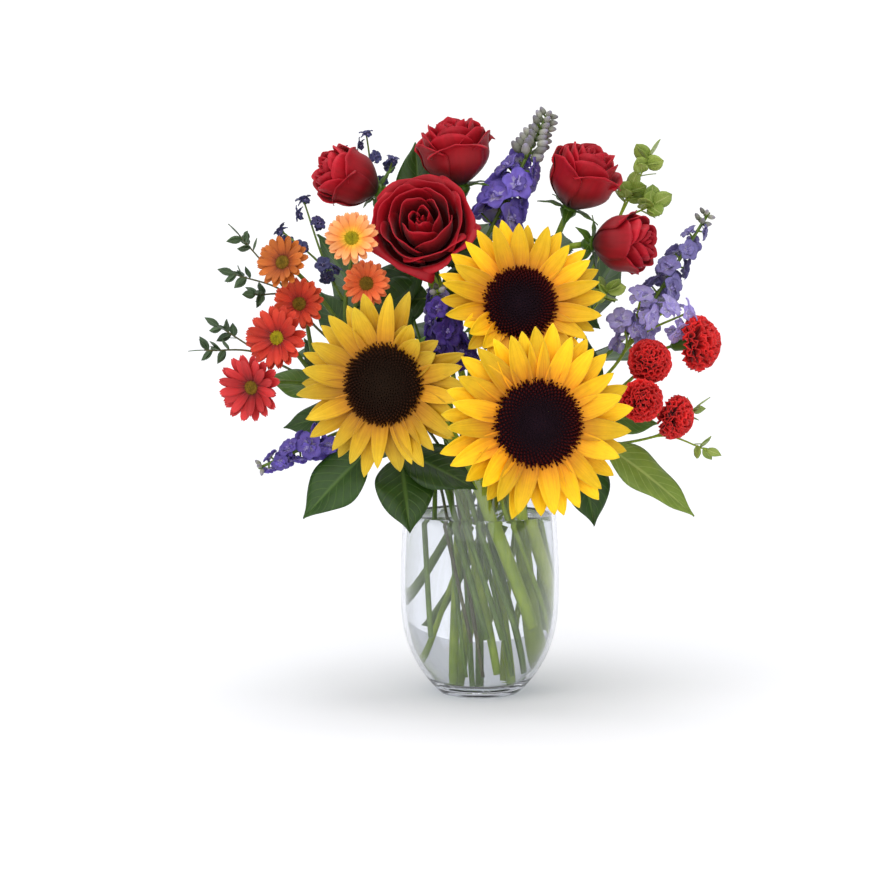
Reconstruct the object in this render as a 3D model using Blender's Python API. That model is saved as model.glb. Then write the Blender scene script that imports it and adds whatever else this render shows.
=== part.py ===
"""A cut-flower bouquet that stands in a glass vase of water.

The frame has +Z up, its origin at the middle of the vase's foot, and the bouquet's front
towards -Y. All stems turn about the vase's axis in one spiral, as a florist ties them:
each is a straight ruling up to the rim, so that no two can meet, and bends on to its head
above it. Heads are modelled facing +Z from their own base, then turned and placed.
"""

import math

import bmesh
import bpy
from mathutils import Matrix, Vector

# Vase and water
VASE_HEIGHT = 0.158
BELLY_HEIGHT = 0.080
BELLY_RADIUS = 0.055
FOOT_RADIUS = 0.0275
MOUTH_RADIUS = 0.0495
GLASS_WALL = 0.003
GLASS_FLOOR = 0.007
WATER_LEVEL = 0.125
WATER_GAP_SHARE = 0.18 / 11  # its gap to the wall, as a share of the belly's swell beyond the foot
VASE_SEGMENTS = 30
BELOW_BELLY_POWER = 3.0
ABOVE_BELLY_POWER = 1.6

# How pieces fit
GAP = 0.0003  # air between pieces that touch
FOOT_CLEARANCE = 0.0012  # from a cut stem's corner to the glass
CHANNEL_GAP = 0.00035  # water round a stem

# The spiral that all stems follow below the rim
WAIST_BELOW_RIM = 0.018
SPIRAL_RATE = -11.5  # turn per metre of height, clockwise going up
STEM_STEPS = 6
USUAL_REACH = (0.35, 0.3)  # the handles of a stem's bend, as shares of its span
REACH_STEP = 0.02
LONGEST_REACH = 1.0
LIP_CLEARANCE = 0.0002
THICK_STEM = 0.003
THIN_STEM = 0.002

# Sunflowers
SUNFLOWER_STEM = 0.0045
RAY_COUNT = 18
RAY_THICKNESS = 0.0012
RAY_LIFT = 0.006
DISC_HEIGHT = 0.008
CALYX_DEPTH = 0.012

# Roses
ROSE_STEM = 0.0027
HIP_RADIUS = 0.006
HIP_DEPTH = 0.008
SEPAL_COUNT = 5

# Daisies
DAISY_STEM = 0.0018
DAISY_RAYS = 12
DAISY_RAY_THICKNESS = 0.0010
DAISY_RAY_LIFT = 0.0015
EYE_HOLE = 0.0045
EYE_OVERHANG = 0.0010  # of the eye over the rays
EYE_EDGE = 0.0012
EYE_DOME = 0.0030
RECEPTACLE_DEPTH = 0.0055
BRANCH_STEPS = 4

# Carnations
CARNATION_DEPTH_SHARE = 1.15  # of a bloom's radius
CARNATION_THROAT = 0.0035
CARNATION_CUP_RADIUS = 0.0042
CARNATION_CUP_DEPTH = 0.014

# Leaves
LEAF_THICKNESS = 0.0010
LEAF_STATIONS = 3
LEAF_BLUNTNESS = 0.8
STALK_SHARE = 0.12  # of the leaf's length
STALK_OVERLAP = 0.004


def material(name, colour, roughness, alpha=1.0):
    """A Principled material of one colour."""
    made = bpy.data.materials.new(name)
    made.use_nodes = True
    shader = made.node_tree.nodes["Principled BSDF"]
    shader.inputs["Base Color"].default_value = (*colour, 1.0)
    shader.inputs["Roughness"].default_value = roughness
    shader.inputs["Metallic"].default_value = 0.0
    shader.inputs["Alpha"].default_value = alpha
    return made


def placed(name, mesh, finish, matrix=None):
    """A mesh as a named object, turned and moved by matrix."""
    obj = bpy.data.objects.new(name, mesh)
    bpy.context.scene.collection.objects.link(obj)
    mesh.materials.clear()
    mesh.materials.append(finish)
    if matrix is not None:
        obj.matrix_world = matrix
    mesh.shade_smooth()
    mesh.set_sharp_from_angle(angle=math.radians(40))
    return obj


def united(name, meshes, finish):
    """One body out of overlapping meshes: the first keeps the name, and the others are unseen helpers."""
    body = placed(name, meshes[0], finish)
    helpers = bpy.data.collections.new(name + "_helpers")
    bpy.context.scene.collection.children.link(helpers)
    helpers.hide_render = True
    for mesh in meshes[1:]:
        helper = bpy.data.objects.new(name + "_helper", mesh)
        helper.hide_render = True
        helper.display_type = "WIRE"
        helpers.objects.link(helper)
    union = body.modifiers.new("union", "BOOLEAN")
    union.operation = "UNION"
    union.operand_type = "COLLECTION"
    union.collection = helpers
    union.solver = "EXACT"
    union.use_self = True
    return body


def facing(place, direction, spin=0.0):
    """The matrix that carries a head modelled along +Z to a place and a direction."""
    turn = Vector(direction).normalized().to_track_quat("Z", "Y").to_matrix().to_4x4()
    return Matrix.Translation(place) @ turn @ Matrix.Rotation(math.radians(spin), 4, "Z")


def heading(yaw, pitch):
    """The direction that looks yaw degrees to the right of the front and pitch degrees up."""
    yaw, pitch = math.radians(yaw), math.radians(pitch)
    return Vector((math.sin(yaw) * math.cos(pitch), -math.cos(yaw) * math.cos(pitch), math.sin(pitch)))


# ---------------------------------------------------------------- basic shapes


def finished(bm, name):
    """The bmesh as a mesh with its faces pointing outwards."""
    bmesh.ops.recalc_face_normals(bm, faces=bm.faces)
    mesh = bpy.data.meshes.new(name)
    bm.to_mesh(mesh)
    bm.free()
    return mesh


def turned(name, profile, segments, lobes=0, lobe_depth=0.0, lobe_from=0.0):
    """A solid of revolution about Z. Its points beyond lobe_from radius swell and shrink in lobes."""
    bm = bmesh.new()
    verts = [bm.verts.new((radius, 0.0, height)) for radius, height in profile]
    for first, second in zip(verts, verts[1:]):
        bm.edges.new((first, second))
    outline = bm.verts[:] + bm.edges[:]
    bmesh.ops.spin(bm, geom=outline, cent=(0, 0, 0), axis=(0, 0, 1), angle=2 * math.pi, steps=segments)
    bmesh.ops.remove_doubles(bm, verts=bm.verts, dist=1e-6)
    for vert in bm.verts:
        radius = math.hypot(vert.co.x, vert.co.y)
        if lobes and radius > lobe_from:
            swell = 1 + lobe_depth * math.cos(lobes * math.atan2(vert.co.y, vert.co.x))
            vert.co.x *= swell
            vert.co.y *= swell
    return finished(bm, name)


def sides_for(thick):
    """How many flats a stem or its channel in the water has."""
    return 8 if thick > THICK_STEM else 6 if thick > THIN_STEM else 5


def tube(name, points, radii, sides=6, last_way=None):
    """A closed round bar along the points. Its last end is square to last_way, if that is given."""
    bm = bmesh.new()
    legs = [(after - before).normalized() for before, after in zip(points, points[1:])]
    bends = [(one + two).normalized() for one, two in zip(legs, legs[1:])]
    ways = [legs[0]] + bends + [last_way or legs[-1]]
    side = ways[0].orthogonal().normalized()
    rings = []
    for place, radius, way in zip(points, radii, ways):
        side = (side - way * side.dot(way)).normalized()
        other = way.cross(side)
        turns = [2 * math.pi * i / sides for i in range(sides)]
        spokes = [side * math.cos(turn) + other * math.sin(turn) for turn in turns]
        rings.append([bm.verts.new(place + spoke * radius) for spoke in spokes])
    for lower, upper in zip(rings, rings[1:]):
        for i in range(sides):
            after = (i + 1) % sides
            bm.faces.new((lower[i], lower[after], upper[after], upper[i]))
    bm.faces.new(list(reversed(rings[0])))
    bm.faces.new(rings[-1])
    return finished(bm, name)


def thickened(bm, offset):
    """Gives the bmesh's open plate a second face, one offset away, and closes the edges between."""
    made = bmesh.ops.extrude_face_region(bm, geom=bm.faces[:], use_keep_orig=True)
    verts = [item for item in made["geom"] if isinstance(item, bmesh.types.BMVert)]
    bmesh.ops.translate(bm, verts=verts, vec=offset)


def star_ring(name, count, hole, tip, thickness, lift, notch=0.55, shoulder=0.86):
    """A ring of petals round a hole, as one plate with its top at the frame's origin.

    notch and shoulder are shares of the petals' length, and lift is how far their tips rise.
    """
    bm = bmesh.new()
    pitch = 2 * math.pi / count

    def ring(share, turn):
        radius, height = hole + share * (tip - hole), lift * share**1.5
        angles = [pitch * i + turn for i in range(count)]
        return [bm.verts.new((radius * math.cos(a), radius * math.sin(a), height)) for a in angles]

    inner, notches, tips = ring(0.0, 0.0), ring(notch, 0.0), ring(1.0, pitch * 0.5)
    left, right = ring(shoulder, pitch * 0.24), ring(shoulder, pitch * 0.76)
    for i in range(count):
        after = (i + 1) % count
        bm.faces.new((inner[i], notches[i], notches[after], inner[after]))
        bm.faces.new((notches[i], left[i], tips[i], right[i], notches[after]))
    thickened(bm, (0, 0, -thickness))
    return finished(bm, name)


def blade(name, length, width, matrix, stations=LEAF_STATIONS, droop=0.15, fold=0.12, fullest=0.8):
    """A leaf as one plate along +Z with its upper face towards +Y, then placed by matrix."""
    bm = bmesh.new()
    rows = []
    for station in range(stations + 1):
        along = station / stations
        swell = max(math.sin(math.pi * along**fullest), 0.0) ** LEAF_BLUNTNESS
        half = max(width / 2 * swell, LEAF_THICKNESS * 0.6)
        sag = -droop * length * along**2
        across_leaf = ((-half, sag + fold * half), (0, sag), (half, sag + fold * half))
        rows.append([bm.verts.new((x, y, along * length)) for x, y in across_leaf])
    for lower, upper in zip(rows, rows[1:]):
        for side in range(2):
            bm.faces.new((lower[side], lower[side + 1], upper[side + 1], upper[side]))
    thickened(bm, (0, -LEAF_THICKNESS, 0))
    bmesh.ops.transform(bm, matrix=matrix, verts=bm.verts)
    return finished(bm, name)


def kite(name, length, width, matrix, fold=0.25):
    """A small leaf as a four-cornered plate along +Z, folded down its middle, then placed by matrix."""
    bm = bmesh.new()
    half, fullest = width / 2, length * 0.45
    corners = ((0, 0, 0), (-half, fold * half, fullest), (0, 0, length), (half, fold * half, fullest))
    base, left, tip, right = [bm.verts.new(corner) for corner in corners]
    bm.faces.new((base, left, tip))
    bm.faces.new((base, tip, right))
    thickened(bm, (0, -LEAF_THICKNESS, 0))
    bmesh.ops.transform(bm, matrix=matrix, verts=bm.verts)
    return finished(bm, name)


# ------------------------------------------------------------ the vase's outline


def outer_radius(height):
    """The glass's outer radius at a height."""
    if height < BELLY_HEIGHT:
        share = (BELLY_HEIGHT - height) / BELLY_HEIGHT
        return BELLY_RADIUS - (BELLY_RADIUS - FOOT_RADIUS) * share**BELOW_BELLY_POWER
    share = (height - BELLY_HEIGHT) / (VASE_HEIGHT - BELLY_HEIGHT)
    return BELLY_RADIUS - (BELLY_RADIUS - MOUTH_RADIUS) * share**ABOVE_BELLY_POWER


def inner_radius(height):
    """The glass's inner radius at a height, one wall in from the outside, square to it."""
    step = 1e-4
    slope = (outer_radius(height) - outer_radius(height - step)) / step
    return outer_radius(height) - GLASS_WALL * math.hypot(1, slope)


def heights(low, high, count):
    """Evenly spaced heights from low to high, both included."""
    return [low + (high - low) * i / (count - 1) for i in range(count)]


def vase_mesh():
    """The glass: a foot, a barrel-shaped wall and a rounded lip, open at the top."""
    lip = GLASS_WALL / 2
    foot_edge = 0.001
    top = VASE_HEIGHT - lip
    outside = [(0.0, 0.0), (outer_radius(0) - foot_edge, 0.0)]
    outside += [(outer_radius(z), z) for z in heights(foot_edge, BELLY_HEIGHT, 7)]
    outside += [(outer_radius(z), z) for z in heights(BELLY_HEIGHT, top, 4)[1:]]
    rim = [(MOUTH_RADIUS - lip, VASE_HEIGHT)]
    inside = [(inner_radius(z), z) for z in reversed(heights(BELLY_HEIGHT, top, 4)[1:])]
    inside += [(inner_radius(z), z) for z in reversed(heights(GLASS_FLOOR + GLASS_WALL, BELLY_HEIGHT, 6))]
    floor = [(inner_radius(GLASS_FLOOR) - GLASS_WALL, GLASS_FLOOR), (0.0, GLASS_FLOOR)]
    return turned("glass_vase", outside + rim + inside + floor, VASE_SEGMENTS)


def water_mesh():
    """The water as it would fill the vase with no stems in it."""
    low = GLASS_FLOOR + GLASS_WALL
    steps = 6
    bottom = GLASS_FLOOR + GAP
    gap = WATER_GAP_SHARE * (BELLY_RADIUS - FOOT_RADIUS)
    profile = [(0.0, bottom), (inner_radius(GLASS_FLOOR) - GLASS_WALL - GAP, bottom)]
    profile += [(inner_radius(z) - gap, z) for z in heights(low, WATER_LEVEL, steps)]
    profile += [(0.0, WATER_LEVEL)]
    return turned("water", profile, VASE_SEGMENTS)


# ------------------------------------------------------------------ stem routes

STANDING = []  # the slot and radius of each stem routed so far, which the water makes room for


def spiral_point(ring, angle, height):
    """Where the stem that crosses the waist at this ring and angle is, at a height."""
    waist = VASE_HEIGHT - WAIST_BELOW_RIM
    turn = complex(1, SPIRAL_RATE * (height - waist))
    place = complex(math.cos(math.radians(angle)), math.sin(math.radians(angle))) * ring * turn
    return Vector((place.real, place.imag, height))


def cut_end(ring, angle, thick):
    """The height of a stem's cut end: as low as the floor and the wall let it go."""
    height, step = VASE_HEIGHT / 2, 0.0005
    while height > GLASS_FLOOR + FOOT_CLEARANCE + thick * 0.5:
        lower = height - step
        corner = max(lower - thick * 0.5, GLASS_FLOOR + GLASS_WALL)
        centre = spiral_point(ring, angle, lower)
        if math.hypot(centre.x, centre.y) + thick + FOOT_CLEARANCE > inner_radius(corner):
            break
        height = lower
    return height


def channels_mesh():
    """What the water leaves out: a bar round the foot of each stem, one clearance wider than it."""
    bm = bmesh.new()
    for (ring, angle), thick in STANDING:
        line = [spiral_point(ring, angle, cut_end(ring, angle, thick) - CHANNEL_GAP)]
        line.append(spiral_point(ring, angle, WATER_LEVEL + thick))
        bar = tube("channel", line, [thick + CHANNEL_GAP] * 2, sides_for(thick))
        bm.from_mesh(bar)
        bpy.data.meshes.remove(bar)
    return finished(bm, "channels")


def bezier(first, second, third, fourth, steps):
    """Points of a cubic curve, without its first."""
    points = []
    for i in range(1, steps + 1):
        t = i / steps
        start = first * (1 - t) ** 3 + second * 3 * t * (1 - t) ** 2
        points.append(start + third * 3 * t * t * (1 - t) + fourth * t**3)
    return points


def width_below_rim(points):
    """How far from the axis a stem gets before it passes the rim."""
    widest = 0.0
    for before, after in zip(points, points[1:]):
        if before.z < VASE_HEIGHT < after.z:
            spot = before.lerp(after, (VASE_HEIGHT - before.z) / (after.z - before.z))
            widest = max(widest, math.hypot(spot.x, spot.y))
        elif after.z <= VASE_HEIGHT:
            widest = max(widest, math.hypot(after.x, after.y))
    return widest


def route(plant, end, arrival, steps=STEM_STEPS):
    """A stem's centre line, from its cut end up through the waist and on to its end.

    It points along arrival at its end. The bend starts along the straight part, and holds to it for
    longer where the lip is near.
    """
    ring, angle = plant["slot"]
    STANDING.append((plant["slot"], plant["thick"]))
    foot = spiral_point(ring, angle, cut_end(ring, angle, plant["thick"]))
    knee = spiral_point(ring, angle, VASE_HEIGHT - WAIST_BELOW_RIM)
    rising = (knee - foot).normalized()
    span = (end - knee).length
    out, back = plant.get("reach", USUAL_REACH)
    handle = end - Vector(arrival).normalized() * span * back
    room = MOUTH_RADIUS - GLASS_WALL - plant["thick"] - LIP_CLEARANCE
    bend = bezier(knee, knee + rising * span * out, handle, end, steps)
    while width_below_rim([knee] + bend) > room and out < LONGEST_REACH:
        out += REACH_STEP
        bend = bezier(knee, knee + rising * span * out, handle, end, steps)
    return [foot, knee] + bend


def tapered(points, thick, thin):
    """A radius for each point, from thick at the cut end to thin at the head."""
    lengths = [0.0]
    for first, second in zip(points, points[1:]):
        lengths.append(lengths[-1] + (second - first).length)
    return [thick + (thin - thick) * length / lengths[-1] for length in lengths]


def above_rim(x, y, rise):
    """A place given by its height above the vase's rim."""
    return Vector((x, y, VASE_HEIGHT + rise))


# ----------------------------------------------------------------------- heads


def sunflower(name, plant):
    """A stem, the green calyx behind the head, its ring of rays and its dark disc."""
    way = heading(*plant["faces"])
    centre = above_rim(*plant["head"])
    disc, rays = plant["disc"], plant["rays"]
    calyx_back = -RAY_THICKNESS - GAP - CALYX_DEPTH
    at = facing(centre, way)
    hole = disc * 0.62
    star = star_ring(name + "_rays", RAY_COUNT, hole, rays, RAY_THICKNESS, RAY_LIFT)
    placed(name + "_rays", star, PETAL_YELLOW, at)
    seat = GAP
    profile = [(0, seat), (hole * 0.98, seat), (disc * 0.96, seat + 0.0028), (disc, DISC_HEIGHT * 0.62)]
    profile += [(disc * 0.72, DISC_HEIGHT), (disc * 0.4, DISC_HEIGHT * 0.86), (0, DISC_HEIGHT * 0.8)]
    placed(name + "_disc", turned(name + "_disc", profile, 16), DISC_BROWN, at)
    front = -RAY_THICKNESS - GAP
    cup = [(0, calyx_back), (plant["thick"] * 1.3, calyx_back), (disc * 0.75, calyx_back * 0.55)]
    cup += [(disc * 1.18, front + 0.0002), (disc * 0.8, front), (0, front)]
    bracts = turned(name + "_calyx", cup, 16, lobes=8, lobe_depth=0.14, lobe_from=disc * 1.1)
    placed(name + "_calyx", bracts, LEAF_GREEN, at)
    end = at @ Vector((0, 0, calyx_back - GAP))
    points = route(plant, end, way)
    radii = tapered(points, plant["thick"], plant["thick"] * 0.85)
    placed(name + "_stem", tube(name, points, radii, sides_for(plant["thick"]), way), STEM_GREEN)


def rose(name, plant):
    """A stem, the calyx of hip and sepals, and the bloom."""
    way = heading(*plant["faces"])
    wide, tall = plant["bloom"]
    at = facing(above_rim(*plant["head"]) - way * tall / 2, way, plant.get("spin", 0.0))
    profile = [(0, 0), (wide * 0.42, 0.001), (wide * 0.8, tall * 0.2), (wide * 0.98, tall * 0.5)]
    profile += [(wide * 0.97, tall * 0.8), (wide * 0.78, tall), (wide * 0.45, tall * 0.95)]
    profile.append((0, tall * 0.86))
    bloom = turned(name + "_bloom", profile, 15, lobes=5, lobe_depth=0.05, lobe_from=wide * 0.7)
    placed(name + "_bloom", bloom, PETAL_RED, at)
    hip = [(0, -HIP_DEPTH), (plant["thick"] * 1.2, -HIP_DEPTH), (HIP_RADIUS, -HIP_DEPTH * 0.5)]
    hip += [(wide * 0.62, -GAP - 0.0012), (wide * 0.6, -GAP), (0, -GAP)]
    sepals = turned(name + "_calyx", hip, 10, lobes=SEPAL_COUNT, lobe_depth=0.3, lobe_from=wide * 0.5)
    placed(name + "_calyx", sepals, LEAF_GREEN, at)
    points = route(plant, at @ Vector((0, 0, -HIP_DEPTH - GAP)), way)
    radii = tapered(points, plant["thick"], plant["thick"] * 0.8)
    parts = [tube(name, points, radii, sides_for(plant["thick"]), way)]
    united(name + "_stem", parts + leaves_on(name, points, plant["leaves"]), STEM_GREEN)


def eye_mesh(name, at):
    """The eye of a daisy and the green receptacle behind it, with the ring of rays held between."""
    half = DAISY_RAY_THICKNESS / 2 + GAP
    neck, button = EYE_HOLE - GAP, EYE_HOLE + EYE_OVERHANG
    profile = [(0, -RECEPTACLE_DEPTH), (DAISY_STEM, -RECEPTACLE_DEPTH), (button, -half - EYE_EDGE)]
    profile += [(button, -half), (neck, -half), (neck, half), (button, half)]
    profile += [(button * 0.92, half + EYE_DOME * 0.53), (button * 0.5, half + EYE_DOME * 0.93)]
    profile.append((0, half + EYE_DOME))
    mesh = turned(name, profile, 6)
    mesh.transform(at)
    return mesh


def daisy_spray(name, plant, blooms):
    """A branched stem that carries the eyes of its blooms, and a ring of rays for each."""
    fork = above_rim(*plant["fork"])
    trunk = route(plant, fork, plant["fork_way"])
    parts = [tube(name, trunk, tapered(trunk, plant["thick"], DAISY_STEM), sides_for(plant["thick"]))]
    parts += leaves_on(name, trunk, plant.get("leaves", []))
    for bloom, (head, faces, radius) in blooms.items():
        way = heading(*faces)
        at = facing(above_rim(*head), way)
        star = star_ring(bloom, DAISY_RAYS, EYE_HOLE, radius, DAISY_RAY_THICKNESS, DAISY_RAY_LIFT)
        star.transform(Matrix.Translation((0, 0, DAISY_RAY_THICKNESS / 2)))
        placed(bloom + "_rays", star, PETAL_ORANGE, at)
        parts.append(eye_mesh(bloom, at))
        end = at @ Vector((0, 0, DAISY_STEM / 2 - RECEPTACLE_DEPTH))
        span = (end - fork).length
        start = fork - Vector(plant["fork_way"]).normalized() * DAISY_STEM
        rise = fork + Vector(plant["fork_way"]).normalized() * span * 0.35
        branch = [start] + bezier(start, rise, end - way * span * 0.4, end, BRANCH_STEPS)
        parts.append(tube(bloom, branch, [DAISY_STEM * 0.95] + [DAISY_STEM * 0.8] * 4, 5))
    united(name + "_stem", parts, STEM_GREEN)


def carnation_spray(name, plant, blooms):
    """A branched stem with a tubular calyx at each end, and a ruffled bloom in front of each calyx."""
    fork = above_rim(*plant["fork"])
    trunk = route(plant, fork, plant["fork_way"])
    thin = plant["thick"] * 0.75
    parts = [tube(name, trunk, tapered(trunk, plant["thick"], thin), sides_for(plant["thick"]))]
    parts += leaves_on(name, trunk, plant.get("leaves", []))
    for bloom, (head, faces, radius) in blooms.items():
        way = heading(*faces)
        depth = radius * CARNATION_DEPTH_SHARE
        at = facing(above_rim(*head) - way * depth / 2, way)
        frill = [(0, 0), (CARNATION_THROAT, 0), (radius * 0.8, depth * 0.4), (radius, depth * 0.62)]
        frill += [(radius * 0.8, depth * 0.9), (0, depth)]
        ruffle = turned(bloom, frill, 18, lobes=9, lobe_depth=0.07, lobe_from=radius * 0.7)
        placed(bloom + "_bloom", ruffle, PETAL_SCARLET, at)
        deep, wide = CARNATION_CUP_DEPTH, CARNATION_CUP_RADIUS
        cup = [(0, -deep), (thin * 0.9, -deep), (wide * 0.9, -deep * 0.79), (wide, -deep * 0.14)]
        cup += [(wide * 0.76, -GAP), (0, -GAP)]
        calyx = turned(bloom, cup, 6)
        calyx.transform(at)
        parts.append(calyx)
        end = at @ Vector((0, 0, STALK_OVERLAP / 2 - CARNATION_CUP_DEPTH))
        span = (end - fork).length
        start = fork - Vector(plant["fork_way"]).normalized() * thin
        rise = fork + Vector(plant["fork_way"]).normalized() * span * 0.3
        branch = [start] + bezier(start, rise, end - way * span * 0.35, end, BRANCH_STEPS)
        parts.append(tube(bloom, branch, [thin * 0.95] + [thin * 0.8] * 4, 5))
    united(name + "_stem", parts, STEM_GREEN)


def floret_mesh(name, at, wide, reach):
    """A small open flower as a trumpet, whose throat starts reach behind it."""
    profile = [(0, -reach), (0.0008, -reach), (wide, 0), (0, wide * 0.15)]
    mesh = turned(name, profile, 5)
    mesh.transform(at)
    return mesh


def golden_turn(index):
    """The angle of the next leaf or floret up a stem."""
    return math.radians(137.5) * index


def across(direction, angle):
    """A unit vector square to direction, turned by angle about it."""
    side = direction.orthogonal().normalized()
    return Matrix.Rotation(angle, 3, direction) @ side


def larkspur(name, plant, finish):
    """A spike: one stem with florets all round its upper end, smaller towards the tip."""
    base, tip = above_rim(*plant["base"]), above_rim(*plant["tip"])
    axis = (tip - base).normalized()
    points = route(plant, base, axis)
    points.append(tip)
    thin = plant["thick"] * 0.5
    parts = [tube(name, points, tapered(points, plant["thick"], thin), sides_for(plant["thick"]))]
    count, wide = plant["florets"], plant["wide"]
    for i in range(count):
        along = (i + 0.3) / count
        out = across(axis, golden_turn(i) + plant.get("spin", 0.0))
        size = wide * (1 - 0.62 * along)
        reach = plant["spread"] * (1 - 0.6 * along)
        way = (out + axis * 0.35).normalized()
        place = base.lerp(tip, along) + way * reach
        parts.append(floret_mesh(name, facing(place, way), size, reach))
    united(name, parts, finish)


def branched(name, plant, finish, heads, tuft):
    """A fine sprig: a stem that forks to several tips, each with a small tuft of leaves or florets."""
    fork = above_rim(*plant["fork"])
    way = Vector(plant["fork_way"]).normalized()
    trunk = route(plant, fork, way)
    thin = plant["thick"] * 0.7
    parts = [tube(name, trunk, tapered(trunk, plant["thick"], thin), sides_for(plant["thick"]))]
    for number, head in enumerate(heads):
        end = above_rim(*head)
        span = (end - fork).length
        start = fork - way * thin
        back = end - (end - fork).normalized() * span * 0.3
        limb = [start] + bezier(start, fork + way * span * 0.4, back, end, BRANCH_STEPS)
        parts.append(tube(name, limb, [thin * 0.95] + [thin * 0.75] * 4, 4))
        parts += tuft(name, limb, number)
    united(name, parts, finish)


def leaf_tuft(size, wide, count, spread=0.5):
    """Small leaves in turn along the outer part of a limb, with one at its end."""

    def tuft(name, limb, number):
        made = []
        for i in range(count):
            along = 1 - spread * i / count
            spot = limb[-1].lerp(limb[len(limb) // 2], 1 - along)
            line = (limb[-1] - limb[len(limb) // 2]).normalized()
            out = line if i == 0 else (across(line, golden_turn(i + number)) + line * 0.6).normalized()
            at = facing(spot - out * 0.0008, out, 57 * (i + number))
            made.append(kite(name, size, wide, at))
        return made

    return tuft


def floret_tuft(wide, count):
    """A few small florets at a limb's end."""

    def tuft(name, limb, number):
        end = limb[-1]
        line = (end - limb[-2]).normalized()
        made = [floret_mesh(name, facing(end, line), wide, wide)]
        for i in range(1, count):
            out = (across(line, golden_turn(i + number)) + line * 0.3).normalized()
            knot = end - line * wide * 1.9 * i
            made.append(floret_mesh(name, facing(knot + out * wide * 1.3, out), wide * 0.9, wide * 1.3))
        return made

    return tuft


def leaves_on(name, points, leaves):
    """Stalked leaves on a stem.

    A leaf is its share of the way from the waist to the stem's end, the way it grows, the way
    it faces, its length and its width.
    """
    made = []
    for share, grows, faces, length, wide in leaves:
        position = 1 + share * (len(points) - 2)
        before = min(int(position), len(points) - 2)
        spot = points[before].lerp(points[before + 1], position - before)
        way = Vector(grows).normalized()
        up = Vector(faces)
        up = (up - way * up.dot(way)).normalized()
        turn = Matrix((up.cross(way), up, way)).transposed().to_4x4()
        stalk = way * length * STALK_SHARE
        made.append(tube(name, [spot, spot + stalk + way * STALK_OVERLAP], [0.0011, 0.0009], 4))
        made.append(blade(name, length, wide, Matrix.Translation(spot + stalk) @ turn))
    return made


def salal(name, plant, leaves):
    """A woody branch with broad leaves, each on a short stalk."""
    points = route(plant, above_rim(*plant["tip"]), plant["tip_way"])
    radii = tapered(points, plant["thick"], plant["thick"] * 0.6)
    branch = tube(name, points, radii, sides_for(plant["thick"]))
    united(name, [branch] + leaves_on(name, points, leaves), LEAF_GREEN)


# ---------------------------------------------------------------------- plants
# head, fork, base and tip are x, y and the height above the rim; faces is yaw and pitch in
# degrees; slot is the ring and the angle at which the stem crosses the bundle's waist.

SUNFLOWERS = {
    "sunflower_left": {
        "head": (-0.064, -0.077, 0.061), "faces": (-15, 4), "rays": 0.0615, "disc": 0.0270,
        "slot": (0.031, -88), "thick": SUNFLOWER_STEM, "reach": (0.5, 0.45),
    },
    "sunflower_front": {
        "head": (0.035, -0.100, 0.037), "faces": (8, 2), "rays": 0.0630, "disc": 0.0295,
        "slot": (0.031, -38), "thick": SUNFLOWER_STEM, "reach": (0.5, 0.5),
    },
    "sunflower_top": {
        "head": (0.025, -0.060, 0.113), "faces": (4, 14), "rays": 0.0570, "disc": 0.0245,
        "slot": (0.0205, -12), "thick": SUNFLOWER_STEM * 0.95, "reach": (0.4, 0.35),
    },
}

ROSES = {
    "rose_crown": {
        "head": (-0.017, 0.006, 0.214), "faces": (-40, 74), "bloom": (0.0250, 0.044),
        "slot": (0.0105, 160), "thick": ROSE_STEM,
        "leaves": [(0.8, (0.3, 0.9, 0.5), (0.0, -0.5, 0.9), 0.046, 0.026)],
    },
    "rose_middle": {
        "head": (-0.039, -0.028, 0.163), "faces": (-8, 25), "bloom": (0.0320, 0.042),
        "slot": (0.0105, -75), "thick": ROSE_STEM, "reach": (0.35, 0.2),
        "leaves": [(0.85, (0.9, -0.4, 0.4), (0.0, -0.8, 0.7), 0.040, 0.024)],
    },
    "rose_left": {
        "head": (-0.090, 0.002, 0.197), "faces": (-68, 22), "bloom": (0.0200, 0.044),
        "slot": (0.0205, -126), "thick": ROSE_STEM, "reach": (0.35, 0.2),
        "leaves": [(0.75, (-0.95, -0.2, 0.15), (0.0, -0.5, 0.9), 0.044, 0.024)],
    },
    "rose_high_right": {
        "head": (0.070, 0.010, 0.197), "faces": (50, 62), "bloom": (0.0240, 0.044),
        "slot": (0.0105, 65), "thick": ROSE_STEM,
        "leaves": [(0.8, (0.3, 0.9, 0.6), (0.0, -0.5, 0.9), 0.046, 0.026)],
    },
    "rose_right": {
        "head": (0.096, -0.018, 0.153), "faces": (66, 2), "bloom": (0.0205, 0.042),
        "slot": (0.0205, 50), "thick": ROSE_STEM,
        "leaves": [(0.85, (-0.2, -0.9, 0.3), (0.3, -0.4, 0.9), 0.040, 0.024)],
    },
}


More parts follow.
